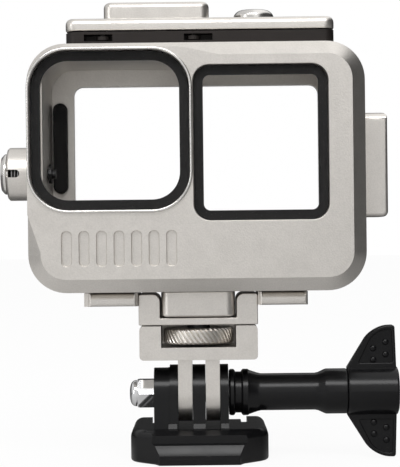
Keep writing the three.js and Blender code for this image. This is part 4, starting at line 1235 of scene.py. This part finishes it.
class HOUSING_OT_thumb_screw(bpy.types.Operator):
    """Moulded sleeve and winged knob"""

    bl_idname = "housing.thumb_screw"
    bl_label = "Thumb Screw"

    def execute(self, context):
        self.sleeve()
        self.knob()
        return {"FINISHED"}

    def knob(self):
        low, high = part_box("wing_knob")
        start, end = low.x, high.x
        radius = radius_of("wing_knob")
        profile = [
            (0.9 * radius, start),
            (0.97 * radius, start + 0.2 * MM),
            (radius, start + 0.7 * MM),
            (radius, end - 0.8 * MM),
            (0.97 * radius, end - 0.35 * MM),
            (0.88 * radius, end - 0.1 * MM),
            (0.5 * radius, end),
        ]
        knob = turned("knob_moulding", profile, "X", TILT_AXIS, 80)
        for side in (1, -1):
            fuse(knob, self.wing(side))
            for along, out in ((0.51, 0.475), (0.75, 0.555), (0.51, 0.65), (0.75, 0.745)):
                for face in (-1, 1):
                    fuse(knob, self.bump(side, face, along, out))
        tidy_mesh(knob)
        edge, sharp = 0.22 * MM, 32
        finish_piece(knob, "wing_knob", edge, 3, sharp)

    def spots(self, side, *shares):
        """Places on a wing, in shares of the knob's length and the wing's reach"""
        low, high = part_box("wing_knob")
        tall, reach = high.x - low.x, radius_of("wing_knob", "Z")
        return [(low.x + along * tall, TILT_AXIS.z + side * out * reach) for along, out in shares]

    def wing(self, side):
        """A flat wing with a round tip and a sunk panel on each face"""
        half, rim, sunk, panel_rim = 1.8 * MM, 0.35 * MM, 0.5 * MM, 0.3 * MM
        tip, corner, panel_tip, panel_corner = 4.2 * MM, 0.7 * MM, 3.4 * MM, 0.5 * MM
        outline = self.spots(side, (0, 0.12), (0, 0.36), (0.5, 0.99), (0.93, 1), (0.965, 0.12))
        wing = wedge("wing", outline, -half, half)
        self.round_at(wing, outline[2], tip, 12)
        self.round_at(wing, outline[3], corner, 4)
        round_rim(wing, "Y", -half, rim, 3)
        round_rim(wing, "Y", half, rim, 3)
        hollow = self.spots(side, (0.225, 0.43), (0.545, 0.935), (0.865, 0.935), (0.895, 0.43))
        for face in (-1, 1):
            panel = wedge("cutter", hollow, face * (half - sunk), face * (half + MM))
            self.round_at(panel, hollow[1], panel_tip, 10)
            for spot in (hollow[0], hollow[2], hollow[3]):
                self.round_at(panel, spot, panel_corner, 3)
            cut(wing, panel)
            round_rim(wing, "Y", face * half, panel_rim, 3, lambda at: self.on_panel(at, hollow))
        return wing

    def on_panel(self, at, outline):
        """Whether a place lies within an outline that bends one way all round"""
        sides = []
        for here, there in zip(outline, outline[1:] + outline[:1]):
            along = Vector(there) - Vector(here)
            across = Vector((at.x, at.z)) - Vector(here)
            sides.append((along.x * across.y - along.y * across.x) / along.length)
        near = 0.05 * MM
        return min(sides) > -near or max(sides) < near

    def round_at(self, piece, corner, radius, steps):
        """Rounds the edge along Y that stands at one corner of an outline"""
        x, z = corner
        near = 0.05 * MM
        round_along(piece, "Y", radius, steps, lambda at: abs(at.x - x) < near and abs(at.z - z) < near)

    def bump(self, side, face, along, out):
        """A low round bump on the wing's sunk panel"""
        ((x, z),) = self.spots(side, (along, out))
        radius, centre = 0.9 * MM, 1.2 * MM
        clear_selection()
        bpy.ops.mesh.primitive_uv_sphere_add(
            segments=20, ring_count=10, radius=radius, location=(x, face * centre, z)
        )
        return made("bump", (1, 0.7, 1))

    def sleeve(self):
        """Two collars with a groove between them, a long tube and a flare under the knob"""
        low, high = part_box("screw_sleeve")
        collar, edge, groove, tube, flare = 6.2, 5.9, 5.5, 4.95, 6.05
        first = [(edge, -0.12), (collar, 0.3), (collar, 1.1), (edge, 1.4), (groove, 1.6), (groove, 3.1)]
        second = [(edge, 3.3), (collar, 3.6), (collar, 4.9), (edge, 5.3), (5.2, 7.4)]
        rest = [(tube, 8.4), (tube, 22.9), (5.15, 23.8), (5.85, 25.3), (flare, 25.9)]
        profile = [(radius * MM, low.x + along * MM) for radius, along in first + second + rest]
        profile += [(flare * MM, high.x - 0.1 * MM), (edge * MM, high.x + 0.2 * MM)]
        sleeve = turned("sleeve_moulding", profile, "X", TILT_AXIS)
        smooth(sleeve, 35)
        finish_piece(sleeve, "screw_sleeve")


class HOUSING_OT_small_parts(bpy.types.Operator):
    """Finishes on the small CAD pieces that show as they are"""

    bl_idname = "housing.small_parts"
    bl_label = "Small Parts"

    def execute(self, context):
        for name, node in frame["nodes"].items():
            # The steel inside the housing gets painted shade
            material = shaded_steel() if name in SHADED_STEEL else FINISHES[SLOTS[name]]()
            if not node.data.materials:
                node.data.materials.append(material)
            for i in range(len(node.data.materials)):
                node.data.materials[i] = material
        return {"FINISHED"}


class HOUSING_OT_stage(bpy.types.Operator):
    """Floor, lamps, world and camera"""

    bl_idname = "housing.stage"
    bl_label = "Stage"

    def execute(self, context):
        self.floor()
        self.world(context)
        self.lamps()
        self.camera(context)
        return {"FINISHED"}

    def floor(self):
        clear_selection()
        bpy.ops.mesh.primitive_plane_add(size=8, location=(0, 0, -0.05 * MM))
        floor = made("floor")
        material, tree, shader = new_material("floor")
        shader.inputs["Roughness"].default_value = 0.9
        seen = new_node(tree, "ShaderNodeLightPath").outputs["Is Camera Ray"]
        tone = colour_mix(tree, seen, self.floor_tone(tree), tone_of("backdrop"))
        tree.links.new(tone, shader.inputs["Base Color"])
        own_light = 0.93
        share = math_node(tree, "MULTIPLY", seen, own_light)
        glow = new_node(tree, "ShaderNodeEmission").outputs["Emission"]
        show_mix(tree, share, shader.outputs["BSDF"], glow)
        floor.data.materials.append(material)

    def floor_tone(self, tree):
        """The floor that the object reflects: darker behind it and to its right"""
        parts = new_node(tree, "ShaderNodeSeparateXYZ", {"Vector": object_place(tree)}).outputs
        to_right = self.ramp(tree, parts["X"], 0.02, 0.09, 0.62, 0.25)
        to_back = self.ramp(tree, parts["Y"], -0.01, 0.05, 1.0, 0.2)
        return math_node(tree, "MULTIPLY", to_right, to_back)

    def world(self, context):
        """White to the camera and through glass, brighter above and to the left for the metal"""
        world = bpy.data.worlds.new("studio")
        context.scene.world = world
        world.use_nodes = True
        tree = world.node_tree
        place = new_node(tree, "ShaderNodeTexCoord").outputs["Generated"]
        strength = 1.0
        for way, start, end, low, high in (
            ((0, 0, 1), -0.15, 0.75, 0.67, 0.75),
            ((1, 0, -0.25), 0.25, 0.6, 1.0, 0.07),
            ((1, 0, 0), -0.15, 0.15, 0.9, 1.38),
            ((0, 1, -1), 0.05, 0.6, 1.0, 0.07),
        ):
            along = new_node(tree, "ShaderNodeVectorMath", {0: place, 1: way}, operation="DOT_PRODUCT")
            share = self.ramp(tree, along.outputs["Value"], start, end, low, high)
            strength = math_node(tree, "MULTIPLY", strength, share)
        rays = new_node(tree, "ShaderNodeLightPath").outputs
        seen = math_node(tree, "MAXIMUM", rays["Is Camera Ray"], rays["Is Transmission Ray"])
        mix = new_node(tree, "ShaderNodeMix", {"Factor": seen, "A": strength, "B": 1.0})
        back = tree.nodes["Background"]
        tree.links.new(live(mix.outputs, "Result"), back.inputs["Strength"])
        back.inputs["Color"].default_value = tone_of("backdrop")

    def ramp(self, tree, value, start, end, low, high):
        """A smooth change of strength between two values of a place or a direction"""
        inputs = {"Value": value, "From Min": start, "From Max": end, "To Min": low, "To Max": high}
        ramp = new_node(tree, "ShaderNodeMapRange", inputs, interpolation_type="SMOOTHSTEP")
        return ramp.outputs["Result"]

    def lamps(self):
        aim = Vector((0, 0, 0.07))
        for name, place, wide, high, power in (
            ("strip", (-0.1, -0.75, 0.8), 0.9, 0.32, 5.2),
            ("side", (-0.8, -0.62, 0.12), 0.16, 0.7, 1.2),
            ("top", (0.0, 0.05, 0.9), 0.8, 0.8, 0.15),
        ):
            lamp = bpy.data.lights.new(name, "AREA")
            lamp.shape = "RECTANGLE"
            lamp.size = wide
            lamp.size_y = high
            lamp.energy = power
            holder = bpy.data.objects.new(name, lamp)
            bpy.context.scene.collection.objects.link(holder)
            holder.location = place
            holder.rotation_euler = (Vector(place) - aim).to_track_quat("Z", "Y").to_euler()

    def camera(self, context):
        """A camera at the photo's view: its height in pixels and the front's scale give the lens"""
        camera = bpy.data.cameras.new("camera")
        holder = bpy.data.objects.new("camera", camera)
        context.scene.collection.objects.link(holder)
        photo_height = 467
        pixels_per_mm = 3.9
        distance = 450 * MM
        aside, height, lean = 0.69 * MM, 60.54 * MM, math.radians(0.65)
        camera.lens = camera.sensor_width * distance / (photo_height / pixels_per_mm * MM)
        holder.location = (aside, SHELL_LOW.y - distance, height)
        holder.rotation_euler = (math.pi / 2, lean, 0)
        camera.clip_start = 0.01
        camera.clip_end = 20
        context.scene.camera = holder
        context.scene.view_settings.view_transform = "Standard"


STEPS = (
    HOUSING_OT_small_parts,
    HOUSING_OT_shell,
    HOUSING_OT_windows,
    HOUSING_OT_door,
    HOUSING_OT_top,
    HOUSING_OT_buttons,
    HOUSING_OT_metalwork,
    HOUSING_OT_wheel,
    HOUSING_OT_buckle,
    HOUSING_OT_thumb_screw,
    HOUSING_OT_stage,
)


class HOUSING_PT_panel(bpy.types.Panel):
    """Builds the housing's pieces one by one"""

    bl_idname = "HOUSING_PT_panel"
    bl_label = "Underwater Housing"
    bl_space_type = "VIEW_3D"
    bl_region_type = "UI"
    bl_category = "Housing"

    def draw(self, context):
        layout = self.layout
        for step in STEPS:
            layout.operator(step.bl_idname)
        for group in (context.scene.housing_sizes, context.scene.housing_colours):
            box = layout.box()
            for name in group.__annotations__:
                box.prop(group, name)


CLASSES = (HousingSizes, HousingColours, *STEPS, HOUSING_PT_panel)


def register():
    for each in CLASSES:
        bpy.utils.register_class(each)
    bpy.types.Scene.housing_sizes = bpy.props.PointerProperty(type=HousingSizes)
    bpy.types.Scene.housing_colours = bpy.props.PointerProperty(type=HousingColours)


def unregister():
    del bpy.types.Scene.housing_sizes
    del bpy.types.Scene.housing_colours
    for each in reversed(CLASSES):
        bpy.utils.unregister_class(each)


def main():
    register()
    for step in STEPS:
        getattr(bpy.ops.housing, step.bl_idname.split(".")[1])()


if __name__ == "__main__":
    main()
